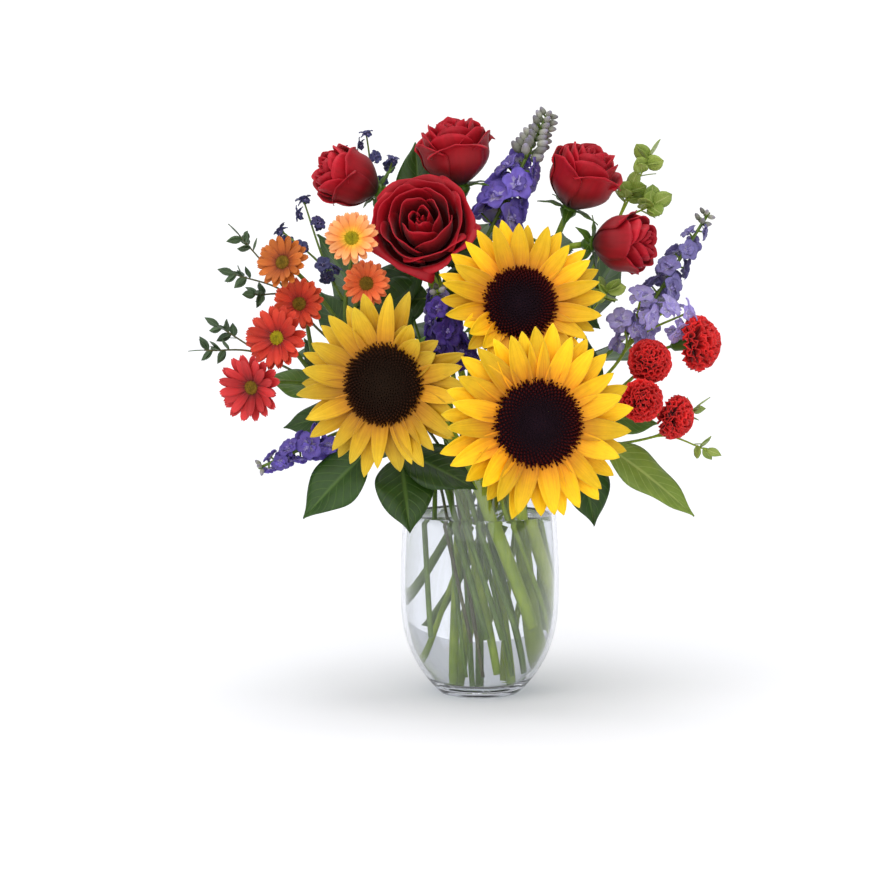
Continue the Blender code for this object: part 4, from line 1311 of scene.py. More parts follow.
@dataclass
class Sunflower:
    """A sunflower: its stalk, the bracts behind its head, its rays and its disc of florets."""

    name: str
    head: Place
    faces: tuple[float, float]
    rays: float
    disc: float
    stem: Stem
    petal: PetalFinish = SUN_PETAL
    grain: GrainFinish = DISC_MAROON
    rows: tuple[int, int] = (19, 19)
    short: tuple[float, float, float] = (0.0, 0.0, 1.0)
    ray_plate: float = 0.0015
    calyx_depth: float = 0.012
    disc_height: float = 0.008
    floret_count: int = 620
    petal_wall: float = 0.0005

    def seat(self) -> Matrix:
        """Where the head sits and the way it faces."""
        return facing(above_rim(self.head), heading(*self.faces))

    def petal_shapes(self, chance: random.Random) -> list[bpy.types.Object]:
        """The ray petals that the rows are made of.

        Args:
            chance: The flower's own seeded chance.

        Returns:
            Eight petals that differ in curl, twist and sway.
        """
        length = self.rays - self.disc * 0.62
        shapes = []
        for _ in range(8):
            ray = RayShape(
                length * chance.uniform(0.86, 1.05),
                self.rays * 0.222 * chance.uniform(0.86, 1.12),
                chance.uniform(-0.10, 0.16),
                chance.uniform(-0.45, 0.45),
                chance.uniform(0.15, 0.55),
                chance.uniform(-0.06, 0.06),
            )
            shapes.append(plate(ray.grid, self.petal.made(), (6, 14), self.petal_wall))
        return shapes

    def build_petals(self, at: Matrix, chance: random.Random) -> None:
        """Makes the rows of rays.

        Args:
            at: The head's seat.
            chance: The flower's own seeded chance.
        """
        bunch = Bunch()
        shapes = self.petal_shapes(chance)
        for row, count in enumerate(self.rows):
            for i in range(count):
                angle = 2 * math.pi * (i + 0.5 * row + chance.uniform(-0.16, 0.16)) / count
                tilt = math.radians(chance.uniform(1, 9) + (7 if row == 0 else 0))
                start = Matrix.Translation((0, self.disc * 0.62, 0.0004 if row == 0 else -0.0010))
                size = 0.96 if row == 0 else 1.02
                turn = Matrix.Rotation(angle, 4, "Z") @ start @ Matrix.Rotation(tilt, 4, "X")
                length = size * self.crowding(math.degrees(angle) % 360)
                bunch.copy(chance.choice(shapes), at @ turn @ scaled(size, length, size), chance.random())
        discard(*shapes)
        settle(bunch.joined(), self.name + "_petals", self.name + "_rays")

    def crowding(self, angle: float) -> float:
        """How much of its length a ray keeps, shorter where a neighbour crowded it as it grew.

        Args:
            angle: The ray's place round the head, in degrees against the clock from the top.

        Returns:
            The share.
        """
        first, last, share = self.short
        return share if first < angle < last else 1.0

    def dome(self, radius: float) -> float:
        """The disc's height at a radius: a low dome with a dished middle."""
        share = radius / self.disc
        rim = 1 - smoothstep(np.array([share]), 0.74, 1.04)[0]
        return self.disc_height * (0.30 + 0.40 * rim + 0.16 * math.exp(-(((share - 0.72) / 0.22) ** 2)))

    def build_disc(self, at: Matrix) -> None:
        """Makes the disc: a dome with florets packed over it in a golden spiral."""
        finish = self.grain.made()
        bunch = Bunch()
        profile = [(0.0, 0.0003), (self.disc * 0.60, 0.0003), (self.disc * 0.93, 0.0022)]
        profile += [(self.disc * s, self.dome(self.disc * s) - 0.0008) for s in (0.93, 0.86, 0.76, 0.6, 0.4, 0.2)]
        profile += [(0.0, self.dome(0) - 0.0008)]
        body = lathe(profile, 40, finish)
        body.data.transform(at)
        bunch.add(body, 0.3)
        floret = cone(5, 0.00095, 0.00035, 0.0026, finish)
        for i in range(self.floret_count):
            share = math.sqrt((i + 0.5) / self.floret_count)
            angle = GOLDEN_ANGLE * i
            radius = self.disc * 0.985 * share
            lean = Vector((math.cos(angle), math.sin(angle), 0)) * max(share - 0.35, 0) * 1.1
            centre = Vector((math.cos(angle) * radius, math.sin(angle) * radius, self.dome(radius) - 0.0012))
            size = 0.62 + 0.55 * share
            bunch.copy(floret, at @ facing(centre, lean + Vector((0, 0, 1))) @ scaled(size, size, size), share)
        discard(floret)
        settle(bunch.joined(), self.name + "_florets", self.name + "_disc")

    def build_bracts(self, at: Matrix, chance: random.Random) -> None:
        """Makes the green cup behind the head and its rows of pointed bracts.

        Args:
            at: The head's seat.
            chance: The flower's own seeded chance.
        """
        finish = LEAF_MID.made()
        back = -self.ray_plate - self.calyx_depth
        profile = [(0.0, back), (self.stem.thick * 1.3, back), (self.disc * 0.42, back * 0.86)]
        profile += [(self.disc * 0.78, back * 0.55), (self.disc * 0.98, -0.0032), (self.disc * 0.80, -self.ray_plate)]
        profile += [(0.0, -self.ray_plate)]
        cup = lathe(profile, 40, finish)
        cup.data.transform(at)
        bunch = Bunch()
        bunch.add(cup, 0.6)
        form = LeafShape(droop=-0.25, fold=0.3, fullest=0.62, blunt=0.8, wave=0.0, cells=(4, 8), wall=0.0006)
        bract = plate(form.grid(0.024, 0.011, 0.0), finish, form.cells, form.wall)
        for row in range(2):
            for i in range(14):
                angle = 2 * math.pi * (i + 0.5 * row) / 14
                out = Vector((math.cos(angle), math.sin(angle), 0))
                grows = (out + Vector((0, 0, 0.30 + 0.30 * row))).normalized()
                turn = leaf_turn(grows, out * 0.3 - Vector((0, 0, 1)))
                start = out * self.disc * (0.66 - 0.16 * row) + Vector((0, 0, back * (0.55 + 0.2 * row)))
                size = chance.uniform(0.85, 1.05)
                bunch.copy(bract, at @ Matrix.Translation(start) @ turn @ scaled(size, size, size), chance.random())
        discard(bract)
        settle(bunch.joined(), self.name + "_bracts", self.name + "_calyx")

    def build(self) -> None:
        """Makes the flower."""
        at = self.seat()
        chance = random.Random(self.name)
        self.build_petals(at, chance)
        self.build_disc(at)
        self.build_bracts(at, chance)
        end = at @ Vector((0, 0, -self.ray_plate - self.calyx_depth + 0.001))
        bunch = Bunch()
        bunch.add(bars([self.stem.line(end, heading(*self.faces), 0.85)], self.stem.finish.made(), 4), 0.6)
        settle(bunch.joined(), self.name + "_stalk", self.name + "_stem")


# ----------------------------------------------------------------------- roses


@dataclass(frozen=True)
class RoseLayer:
    """One whorl of a rose: how many petals, how wide and high they stand, and how they end."""

    count: int
    radius: float
    height: float
    spread: float
    lip: float
    start: float


ROSE_LAYERS = (
    RoseLayer(3, 0.13, 0.94, 1.30, -0.08, 0.0),
    RoseLayer(3, 0.27, 0.99, 1.25, -0.08, 0.9),
    RoseLayer(3, 0.43, 1.02, 1.25, -0.02, 0.3),
    RoseLayer(4, 0.60, 1.00, 1.05, 0.06, 0.7),
    RoseLayer(5, 0.77, 0.95, 0.90, 0.14, 0.1),
    RoseLayer(5, 0.92, 0.86, 0.84, 0.24, 0.5),
)


@dataclass
class Rose:
    """A half-open rose: whorls of petals, a calyx of sepals, and its stem with leaves and thorns."""

    name: str
    head: Place
    faces: tuple[float, float]
    wide: float
    tall: float
    stem: Stem
    leaves: tuple[Leaf, ...]
    closed: float = 0.0
    petal: PetalFinish = ROSE_PETAL
    hip_depth: float = 0.008
    hip_radius: float = 0.006
    petal_wall: float = 0.0005

    def petal_grid(self, layer: RoseLayer, chance: random.Random) -> Grid:
        """A petal of a whorl, wrapped round the bloom's axis with its middle towards +X.

        Args:
            layer: The whorl.
            chance: The flower's own seeded chance.

        Returns:
            The function that draws the grid.
        """
        phase, tilt = chance.uniform(0, 6.28), chance.uniform(-0.05, 0.05)
        lip = layer.lip * chance.uniform(0.7, 1.3) - self.closed * 0.30 * layer.radius * (1 - layer.radius * 0.6)
        notch = chance.uniform(0.0, 0.04)

        def shape(u: np.ndarray, v: np.ndarray) -> np.ndarray:
            swell = np.sin(np.clip(v / 0.55, 0, 1) * math.pi / 2) ** 0.85
            radius = self.wide * (0.10 + (layer.radius - 0.10) * swell)
            radius = radius + self.wide * lip * smoothstep(v, 0.62, 1.0) * (0.55 + 0.6 * np.abs(u))
            radius = radius + self.wide * 0.030 * u
            radius = radius + self.wide * 0.020 * np.sin(2.2 * math.pi * u + phase) * smoothstep(v, 0.5, 1.0)
            radius = np.maximum(radius, self.wide * 0.02)
            turn = u * layer.spread * (0.42 + 0.58 * np.sin(math.pi * (0.10 + 0.62 * v))) + tilt * v
            top = 1 - 0.17 * np.abs(u) ** 3 * v - max(lip, 0) * 0.65 * smoothstep(v, 0.80, 1.0)
            top = top + notch * np.exp(-((u / 0.2) ** 2)) * v
            return np.column_stack((radius * np.cos(turn), radius * np.sin(turn), self.tall * layer.height * v * top))

        return shape

    def build_petals(self, at: Matrix, chance: random.Random) -> None:
        """Makes the bloom.

        Args:
            at: The bloom's base.
            chance: The flower's own seeded chance.
        """
        bunch = Bunch()
        for layer in ROSE_LAYERS:
            for i in range(layer.count):
                shape = self.petal_grid(layer, chance)
                one = plate(shape, self.petal.made(), (12, 12), self.petal_wall)
                angle = 2 * math.pi * (i + chance.uniform(-0.08, 0.08)) / layer.count + layer.start
                one.data.transform(at @ Matrix.Rotation(angle, 4, "Z"))
                # Random tone, scaled down for the inner whorls as painted shade deep in the bloom.
                bunch.add(one, chance.uniform(0.1, 0.9) * (0.5 + 0.5 * layer.radius))
        # The heart gets the darkest tone: painted shade at the middle of the bloom.
        core = bud_ball(10, 8, self.wide * 0.16, self.tall * 0.80, self.petal.made())
        core.data.transform(at)
        bunch.add(core, 0.1)
        settle(bunch.joined(), self.name + "_petals", self.name + "_bloom")

    def build_calyx(self, at: Matrix, chance: random.Random) -> None:
        """Makes the hip and its five sepals.

        Args:
            at: The bloom's base.
            chance: The flower's own seeded chance.
        """
        finish = LEAF_MID.made()
        profile = [(0.0, -self.hip_depth), (self.stem.thick * 1.1, -self.hip_depth)]
        profile += [(self.hip_radius, -self.hip_depth * 0.45), (self.hip_radius * 0.9, 0.0004), (0.0, 0.0008)]
        hip = lathe(profile, 20, finish)
        hip.data.transform(at)
        bunch = Bunch()
        bunch.add(hip, 0.7)
        form = LeafShape(droop=0.3, fold=0.2, fullest=0.5, blunt=0.9, cells=(4, 10), wall=0.0005)
        for i in range(5):
            angle = 2 * math.pi * i / 5
            out = Vector((math.cos(angle), math.sin(angle), 0))
            grows = (out + Vector((0, 0, chance.uniform(-0.1, 0.35)))).normalized()
            sepal = plate(form.grid(self.wide * 0.78, 0.0075, i), finish, form.cells, form.wall)
            turn = leaf_turn(grows, Vector((0, 0, 1)))
            sepal.data.transform(at @ Matrix.Translation(out * self.hip_radius * 0.7 - Vector((0, 0, 0.0012))) @ turn)
            bunch.add(sepal, chance.random())
        settle(bunch.joined(), self.name + "_sepals", self.name + "_calyx")

    def build_stem(self, at: Matrix) -> None:
        """Makes the stem, its leaves and its thorns."""
        way = heading(*self.faces)
        end = at @ Vector((0, 0, -self.hip_depth + 0.0005))
        bunch = Bunch()
        finish = self.stem.finish.made()
        points, radii = self.stem.line(end, way, 0.8)
        bunch.add(bars([(points, radii)], finish, 3), 0.4)
        hang_leaves(bunch, self.stem.route(end, way), self.leaves, ROSE_LEAF, self.stem.finish)
        thorn = cone(5, 0.0011, 0.0001, 0.0034, finish)
        for number, i in enumerate(range(8, len(points) - 2, 4)):
            along = (points[i + 1] - points[i]).normalized()
            out = across(along, GOLDEN_ANGLE * number)
            bunch.copy(thorn, facing(points[i] + out * radii[i] * 0.8, out - along * 0.3), 0.2)
        discard(thorn)
        settle(bunch.joined(), self.name + "_cane", self.name + "_stem")

    def build(self) -> None:
        """Makes the flower."""
        way = heading(*self.faces)
        at = facing(above_rim(self.head) - way * self.tall / 2, way)
        chance = random.Random(self.name)
        self.build_petals(at, chance)
        self.build_calyx(at, chance)
        self.build_stem(at)


# ------------------------------------------------------- daisies and carnations


@dataclass
class Daisy:
    """One daisy of a spray: two rows of blunt rays round a raised eye."""

    name: str
    head: Place
    faces: tuple[float, float]
    radius: float
    ray: PetalFinish
    eye: GrainFinish
    eye_radius: float = 0.0056
    rows: tuple[int, int] = (15, 16)

    def seat(self) -> Matrix:
        """Where the head sits and the way it faces."""
        return facing(above_rim(self.head), heading(*self.faces))

    def ray_grid(self, length: float, width: float, curl: float) -> Grid:
        """A blunt ray along +Y.

        Args:
            length: Its length.
            width: Its width.
            curl: How far its tip rises, as a share of its length.

        Returns:
            The function that draws the grid.
        """

        def shape(u: np.ndarray, v: np.ndarray) -> np.ndarray:
            half = width / 2 * (0.42 + 0.58 * np.sin(math.pi * np.clip(v * 0.80, 0, 1) ** 0.9))
            half = half * np.sqrt(np.clip(1 - smoothstep(v, 0.80, 1.06), 0.02, 1))
            notch = 0.05 * length * np.exp(-((u / 0.3) ** 2)) * smoothstep(v, 0.85, 1.0)
            z = curl * length * v**2 + 0.28 * half * u**2
            return np.column_stack((u * half, v * length - notch, z))

        return shape

    def build_rays(self, chance: random.Random) -> None:
        """Makes the rays.

        Args:
            chance: The spray's own seeded chance.
        """
        at = self.seat()
        bunch = Bunch()
        length = self.radius - self.eye_radius * 0.6
        width = 2 * math.pi * self.radius * 0.62 / self.rows[0] * 1.12
        shapes = [
            plate(self.ray_grid(length, width, curl), self.ray.made(), (4, 8), 0.0004) for curl in (-0.08, 0.03, 0.12, 0.2)
        ]
        for row, count in enumerate(self.rows):
            for i in range(count):
                angle = 2 * math.pi * (i + 0.5 * row + chance.uniform(-0.15, 0.15)) / count
                tilt = math.radians(chance.uniform(0, 12) + (12 if row == 0 else 0))
                start = Matrix.Translation((0, self.eye_radius * 0.6, 0.0012 if row == 0 else 0.0002))
                size = chance.uniform(0.84, 0.94) if row == 0 else chance.uniform(0.94, 1.0)
                turn = Matrix.Rotation(angle, 4, "Z") @ start @ Matrix.Rotation(tilt, 4, "X")
                bunch.copy(chance.choice(shapes), at @ turn @ scaled(size, size, size), chance.random())
        discard(*shapes)
        settle(bunch.joined(), self.name + "_petals", self.name + "_rays")

    def add_eye(self, bunch: Bunch) -> None:
        """Adds the eye with its florets and the green cup behind the rays to the stem's piece."""
        at = self.seat()
        finish, radius = self.eye.made(), self.eye_radius
        dome = lathe(
            [(0.0, 0.0002), (radius, 0.0004), (radius * 0.95, 0.0014), (radius * 0.6, 0.0028), (0.0, 0.0034)], 20, finish
        )
        dome.data.transform(at)
        bunch.add(dome, 0.4)
        floret = cone(5, 0.00055, 0.0003, 0.0011, finish)
        for i in range(90):
            share = math.sqrt((i + 0.5) / 90)
            angle = GOLDEN_ANGLE * i
            spot = Vector((math.cos(angle), math.sin(angle), 0)) * radius * 0.96 * share
            rise = 0.0032 - 0.0022 * share**2
            lean = spot.normalized() * share * 0.8 + Vector((0, 0, 1))
            bunch.copy(floret, at @ facing(spot + Vector((0, 0, rise - 0.0004)), lean), share)
        discard(floret)
        green = LEAF_MID.made()
        cup = lathe([(0.0, -0.0055), (0.0018, -0.0055), (radius * 0.9, -0.0012), (radius * 0.7, -0.0002), (0, 0)], 20, green)
        cup.data.transform(at)
        bunch.add(cup, 0.4)
        form = LeafShape(droop=-0.2, fold=0.3, fullest=0.6, wave=0.0, cells=(2, 5), wall=0.0004)
        bract = plate(form.grid(0.0075, 0.0034, 0.0), green, form.cells, form.wall)
        for i in range(10):
            out = Vector((math.cos(i * 0.628), math.sin(i * 0.628), 0))
            turn = leaf_turn((out + Vector((0, 0, 0.45))).normalized(), out * 0.3 - Vector((0, 0, 1)))
            bunch.copy(bract, at @ Matrix.Translation(out * 0.0022 + Vector((0, 0, -0.0042))) @ turn, 0.3)
        discard(bract)


@dataclass
class DaisySpray:
    """A forked stem that carries three daisies."""

    name: str
    stem: Stem
    fork: Place
    way: Place
    blooms: tuple[Daisy, ...]
    leaves: tuple[Leaf, ...] = ()
    thin: float = 0.0018

    def build(self) -> None:
        """Makes the spray."""
        chance = random.Random(self.name)
        fork, way = above_rim(self.fork), Vector(self.way).normalized()
        lines = [self.stem.line(fork, way, self.thin / self.stem.thick)]
        bunch = Bunch()
        hang_leaves(bunch, self.stem.route(fork, way), self.leaves, SALAL_LEAF, self.stem.finish)
        for bloom in self.blooms:
            bloom.build_rays(chance)
            bloom.add_eye(bunch)
            end = bloom.seat() @ Vector((0, 0, -0.0045))
            span = (end - fork).length
            back = end - heading(*bloom.faces) * span * 0.4
            points = [fork - way * self.thin] + bezier(fork - way * self.thin, fork + way * span * 0.35, back, end, 12)
            lines.append((points, tapered(points, self.thin * 0.95, self.thin * 0.75)))
        bunch.add(bars(lines, self.stem.finish.made()), 0.4)
        settle(bunch.joined(), self.name + "_branches", self.name + "_stem")


FRILL_ROWS = (
    (9, -4, 0.90, 0.10),
    (9, 10, 1.00, 0.11),
    (9, 23, 1.00, 0.12),
    (8, 37, 0.98, 0.13),
    (7, 52, 0.97, 0.14),
    (6, 67, 0.98, 0.15),
    (4, 81, 0.96, 0.15),
)


@dataclass
class Carnation:
    """One small carnation: frilled petals packed into a ball above a tubular calyx."""

    name: str
    head: Place
    faces: tuple[float, float]
    radius: float
    petal: PetalFinish = FRILL

    def seat(self) -> Matrix:
        """Where the bloom's base sits and the way it faces."""
        way = heading(*self.faces)
        return facing(above_rim(self.head) - way * self.radius * 0.575, way)

    def petal_grid(self, phase: float) -> Grid:
        """A fan with a pinked, ruffled edge, along +Y.

        Args:
            phase: Where its ruffles start.

        Returns:
            The function that draws the grid.
        """
        size = self.radius

        def shape(u: np.ndarray, v: np.ndarray) -> np.ndarray:
            half = size * (0.05 + 0.42 * v**1.4)
            edge = smoothstep(v, 0.7, 1.0)
            saw = 0.06 * np.abs((u * 5.5 + phase) % 1 - 0.5) * edge
            y = size * 1.02 * v * (1 - 0.20 * u**2 * v - saw)
            z = size * (0.09 * v**2 * np.sin(u * math.pi * 3 + phase) + 0.05 * edge * np.sin(u * math.pi * 7 + phase * 2))
            return np.column_stack((u * half, y, z + 0.12 * size * v**2))

        return shape

    def build_petals(self, chance: random.Random) -> None:
        """Makes the bloom.

        Args:
            chance: The spray's own seeded chance.
        """
        at = self.seat()
        shapes = [plate(self.petal_grid(phase), self.petal.made(), (14, 7), 0.0004) for phase in (0.3, 1.9, 3.7, 5.2)]
        bunch = Bunch()
        for count, tilt, size, rise in FRILL_ROWS:
            for i in range(count):
                angle = 2 * math.pi * (i + chance.uniform(-0.2, 0.2)) / count + tilt
                lift = math.radians(tilt + chance.uniform(-7, 7))
                start = Matrix.Translation((0, 0.001, self.radius * rise))
                turn = Matrix.Rotation(angle, 4, "Z") @ start @ Matrix.Rotation(lift, 4, "X")
                bunch.copy(chance.choice(shapes), at @ turn @ scaled(size, size, size), chance.random())
        discard(*shapes)
        settle(bunch.joined(), self.name + "_petals", self.name + "_bloom")


@dataclass
class CarnationSpray:
    """A forked stem that carries two carnations."""

    name: str
    stem: Stem
    fork: Place
    way: Place
    blooms: tuple[Carnation, ...]
    leaves: tuple[Leaf, ...] = ()

    def build(self) -> None:
        """Makes the spray."""
        chance = random.Random(self.name)
        fork, way, thin = above_rim(self.fork), Vector(self.way).normalized(), self.stem.thick * 0.75
        lines = [self.stem.line(fork, way, 0.75)]
        bunch = Bunch()
        hang_leaves(bunch, self.stem.route(fork, way), self.leaves, SALAL_LEAF, self.stem.finish)
        green = LEAF_MID.made()
        for bloom in self.blooms:
            bloom.build_petals(chance)
            at = bloom.seat()
            cup = [(0.0, -0.014), (thin * 0.9, -0.014), (0.0038, -0.011), (0.0042, -0.002), (0.0034, -0.0004), (0.0, -0.0003)]
            calyx = lathe(cup, 18, green)
            calyx.data.transform(at)
            bunch.add(calyx, 0.7)
            end = at @ Vector((0, 0, -0.012))
            span = (end - fork).length
            back = end - heading(*bloom.faces) * span * 0.35
            points = [fork - way * thin] + bezier(fork - way * thin, fork + way * span * 0.3, back, end, 12)
            lines.append((points, tapered(points, thin * 0.95, thin * 0.8)))
        bunch.add(bars(lines, self.stem.finish.made()), 0.5)
        settle(bunch.joined(), self.name + "_branches", self.name + "_stem")


# ----------------------------------------------------------- spikes and sprigs


def floret_shape(finish: PetalFinish, heart: bpy.types.Material, petals: int = 5) -> bpy.types.Object:
    """An open five-petalled floret of unit radius that faces +Z, with a small heart.

    Args:
        finish: The petals' finish.
        heart: The heart's material.
        petals: How many petals there are.

    Returns:
        The floret.
    """

    def shape(u: np.ndarray, v: np.ndarray) -> np.ndarray:
        half = 0.46 * np.sin(math.pi * np.clip(0.06 + v * 0.86, 0, 1)) ** 0.6
        z = -0.30 * (1 - v) ** 1.3 + 0.10 * u**2 - 0.10 * smoothstep(v, 0.7, 1.0)
        return np.column_stack((u * half, 0.06 + 0.94 * v * (1 - 0.06 * u**2), z))

    petal = plate(shape, finish.made(), (4, 4), 0.04)
    bunch = Bunch()
    for i in range(petals):
        bunch.copy(petal, Matrix.Rotation(2 * math.pi * i / petals + 0.2 * (i % 2), 4, "Z"), 0.5)
    small = bud_ball(5, 4, 0.12, 0.34, heart)
    for i in range(3):
        turn = Matrix.Rotation(2.1 * i, 4, "Z") @ Matrix.Translation((0.10, 0, -0.26))
        bunch.copy(small, turn, 0.9)
    discard(petal, small)
    made = bunch.joined()
    made.data.attributes.remove(made.data.attributes[TONE])
    return made


@dataclass
class Larkspur:
    """A flower spike: open florets low down, then smaller ones, then buds at its tip."""

    name: str
    stem: Stem
    base: Place
    tip: Place
    count: int
    wide: float
    spread: float
    petals: PetalFinish
    buds_from: float = 0.8
    pale: tuple[int, ...] = ()

    def build(self) -> None:
        """Makes the spike."""
        chance = random.Random(self.name)
        base, tip = above_rim(self.base), above_rim(self.tip)
        axis = (tip - base).normalized()
        stalk = self.stem.finish.made()
        open_floret = floret_shape(self.petals, SPUR_LILAC.made())
        pale_floret = floret_shape(SPUR_LILAC, LEAF_LIME.made())
        bud = bud_ball(7, 6, 0.42, 1.0, BUD_GREY.made())
        pedicel = cone(5, 0.0008, 0.0006, 1.0, stalk)
        bunch = Bunch()
        bunch.add(bars([self.stem.line(base, axis, 0.5, [base.lerp(tip, s) for s in (0.25, 0.5, 0.75, 1)])], stalk), 0.5)
        for i in range(self.count):
            along = (i + 0.3) / self.count
            out = across(axis, GOLDEN_ANGLE * i)
            size = self.wide * (1 - 0.62 * along)
            reach = self.spread * (1 - 0.6 * along)
            way = (out + axis * 0.35).normalized()
            root = base.lerp(tip, along)
            bunch.copy(pedicel, facing(root, way) @ scaled(1, 1, reach * 0.9), 0.6)
            at = facing(root + way * reach, way, 30 * i)
            if along > self.buds_from:
                for turn in (0, 1.3, 2.5, 3.8, 5.0):
                    lean = (across(axis, GOLDEN_ANGLE * i + turn) + axis * 0.5).normalized()
                    spot = facing(root, lean) @ Matrix.Translation((0, 0, size * chance.uniform(0.2, 0.7)))
                    bunch.copy(bud, spot @ scaled(size * 0.9, size * 0.9, size * 1.1), chance.random())
                continue
            floret = pale_floret if i in self.pale else open_floret
            bunch.copy(floret, at @ scaled(size * 1.05, size * 1.05, size), chance.random())
            for turn, share in ((0.0, 0.7), (2.4, 0.6)):
                lean = (way + axis * 0.5 + across(way, i * 1.7 + turn) * 0.7).normalized()
                inner = facing(root.lerp(root + way * reach, 0.55) + lean * size * 0.4, lean, 50 * i)
                bunch.copy(floret, inner @ scaled(size * share, size * share, size * share), chance.random())
        discard(open_floret, pale_floret, bud, pedicel)
        settle(bunch.joined(), self.name + "_spike", self.name)


class Tuft(Enum):
    """What a sprig carries at its tips."""

    LEAVES = "leaves"
    ROUND_LEAVES = "round leaves"
    FLORETS = "florets"


@dataclass
class Sprig:
    """A fine forked sprig with a tuft of leaves or papery florets at each tip."""

    name: str
    stem: Stem
    fork: Place
    way: Place
    heads: tuple[Place, ...]
    tuft: Tuft
    size: float
    wide: float
    count: int
    leaf: LeafFinish = LEAF_SPRIG
    petals: PetalFinish = PAPER_INDIGO
    spread: float = 0.5

    def limb(self, end: Vector, fork: Vector, way: Vector, steps: int) -> list[Vector]:
        """The centre line of one branch.

        Args:
            end: Its tip.
            fork: Where it leaves the stem.
            way: The way the stem points there.
            steps: How many points its bend has.

        Returns:
            The points.
        """
        thin, span = self.stem.thick * 0.7, (end - fork).length
        start, back = fork - way * thin, end - (end - fork).normalized() * span * 0.3
        return [start] + bezier(start, fork + way * span * 0.4, back, end, steps)

    def add_leaves(self, bunch: Bunch, leaf: bpy.types.Object, limb: list[Vector], number: int, chance: random.Random) -> None:
        """Adds a branch's leaves.

        Args:
            bunch: The sprig's piece.
            leaf: The leaf to copy.
            limb: The branch's coarse centre line.
            number: Which branch it is.
            chance: The sprig's own seeded chance.
        """
        line = (limb[-1] - limb[len(limb) // 2]).normalized()
        for i in range(self.count):
            along = 1 - self.spread * i / self.count
            spot = limb[-1].lerp(limb[len(limb) // 2], 1 - along)
            out = line if i == 0 else (across(line, GOLDEN_ANGLE * (i + number)) + line * 0.6).normalized()
            at = facing(spot - out * 0.0008, out, 57 * (i + number))
            bunch.copy(leaf, at @ scaled(self.wide, self.wide, self.size), chance.random())
            twin = facing(spot - line * self.size * 0.25, (across(line, GOLDEN_ANGLE * (i + number) + 2.6) + line * 0.7))
            bunch.copy(leaf, twin @ scaled(self.wide * 0.8, self.wide * 0.8, self.size * 0.8), chance.random())

    def add_florets(self, bunch: Bunch, floret: bpy.types.Object, limb: list[Vector], number: int, chance: random.Random) -> None:
        """Adds a branch's florets.

        Args:
            bunch: The sprig's piece.
            floret: The floret to copy.
            limb: The branch's coarse centre line.
            number: Which branch it is.
            chance: The sprig's own seeded chance.
        """
        end, wide = limb[-1], self.wide
        line = (end - limb[-2]).normalized()
        spots = [(end, line)]
        for i in range(1, self.count):
            out = (across(line, GOLDEN_ANGLE * (i + number)) + line * 0.3).normalized()
            spots.append((end - line * wide * 1.9 * i + out * wide * 1.3, out))
        for spot, out in spots:
            bunch.copy(floret, facing(spot, out, chance.uniform(0, 72)) @ scaled(wide, wide, wide), chance.random())
            for turn in (0.4, 2.5, 4.6):
                lean = (out + across(out, turn) * 1.1).normalized()
                at = facing(spot - out * wide * 0.7 + lean * wide * 0.55, lean, chance.uniform(0, 72))
                bunch.copy(floret, at @ scaled(wide * 0.62, wide * 0.62, wide * 0.7), chance.random())

    def build(self) -> None:
        """Makes the sprig."""
        chance = random.Random(self.name)
        fork, way = above_rim(self.fork), Vector(self.way).normalized()
        thin = self.stem.thick * 0.7
        lines = [self.stem.line(fork, way, 0.7)]
        bunch = Bunch()
        if self.tuft is Tuft.FLORETS:
            shape, add = floret_shape(self.petals, SPUR_LILAC.made()), self.add_florets
        else:
            form = ROUND_LEAF if self.tuft is Tuft.ROUND_LEAVES else SMALL_LEAF
            wall = form.wall / self.wide
            shape, add = plate(form.grid(1.0, 1.0, 0.0), self.leaf.made(), form.cells, wall), self.add_leaves
        for number, head in enumerate(self.heads):
            end = above_rim(head)
            fine = self.limb(end, fork, way, 10)
            lines.append((fine, tapered(fine, thin * 0.95, thin * 0.6)))
            add(bunch, shape, self.limb(end, fork, way, 4), number, chance)
        discard(shape)
        bunch.add(bars(lines, self.stem.finish.made(), 1), 0.5)
        settle(bunch.joined(), self.name + "_sprig", self.name)


@dataclass
class Salal:
    """A woody branch of broad leaves."""

    name: str
    stem: Stem
    tip: Place
    way: Place
    leaves: tuple[Leaf, ...]

    def build(self) -> None:
        """Makes the branch."""
        end, way = above_rim(self.tip), Vector(self.way)
        bunch = Bunch()
        bunch.add(bars([self.stem.line(end, way, 0.6)], self.stem.finish.made()), 0.5)
        hang_leaves(bunch, self.stem.route(end, way), self.leaves, SALAL_LEAF, self.stem.finish)
        settle(bunch.joined(), self.name + "_branch", self.name)


# ----------------------------------------------------------------- the bouquet


def sunflowers() -> list[Sunflower]:
    """The three sunflowers."""
    return [
        Sunflower(
            "sunflower_left", (-0.064, -0.077, 0.061), (-15, 4), 0.0615, 0.0270,
            Stem(0.031, -88, 0.0045, (0.5, 0.45), STALK_GREEN), SUN_PETAL_DEEP, DISC_UMBER,
            (18, 18), (292, 346, 0.62),
        ),
        Sunflower(
            "sunflower_front", (0.035, -0.100, 0.037), (8, 2), 0.0630, 0.0295,
            Stem(0.031, -38, 0.0045, (0.5, 0.5), STALK_BRIGHT),
        ),
        Sunflower(
            "sunflower_top", (0.025, -0.060, 0.113), (4, 14), 0.0570, 0.0245,
            Stem(0.0205, -12, 0.0045 * 0.95, (0.4, 0.35), STALK_GREEN), rows=(18, 18), short=(103, 162, 0.70),
            floret_count=520,
        ),
    ]


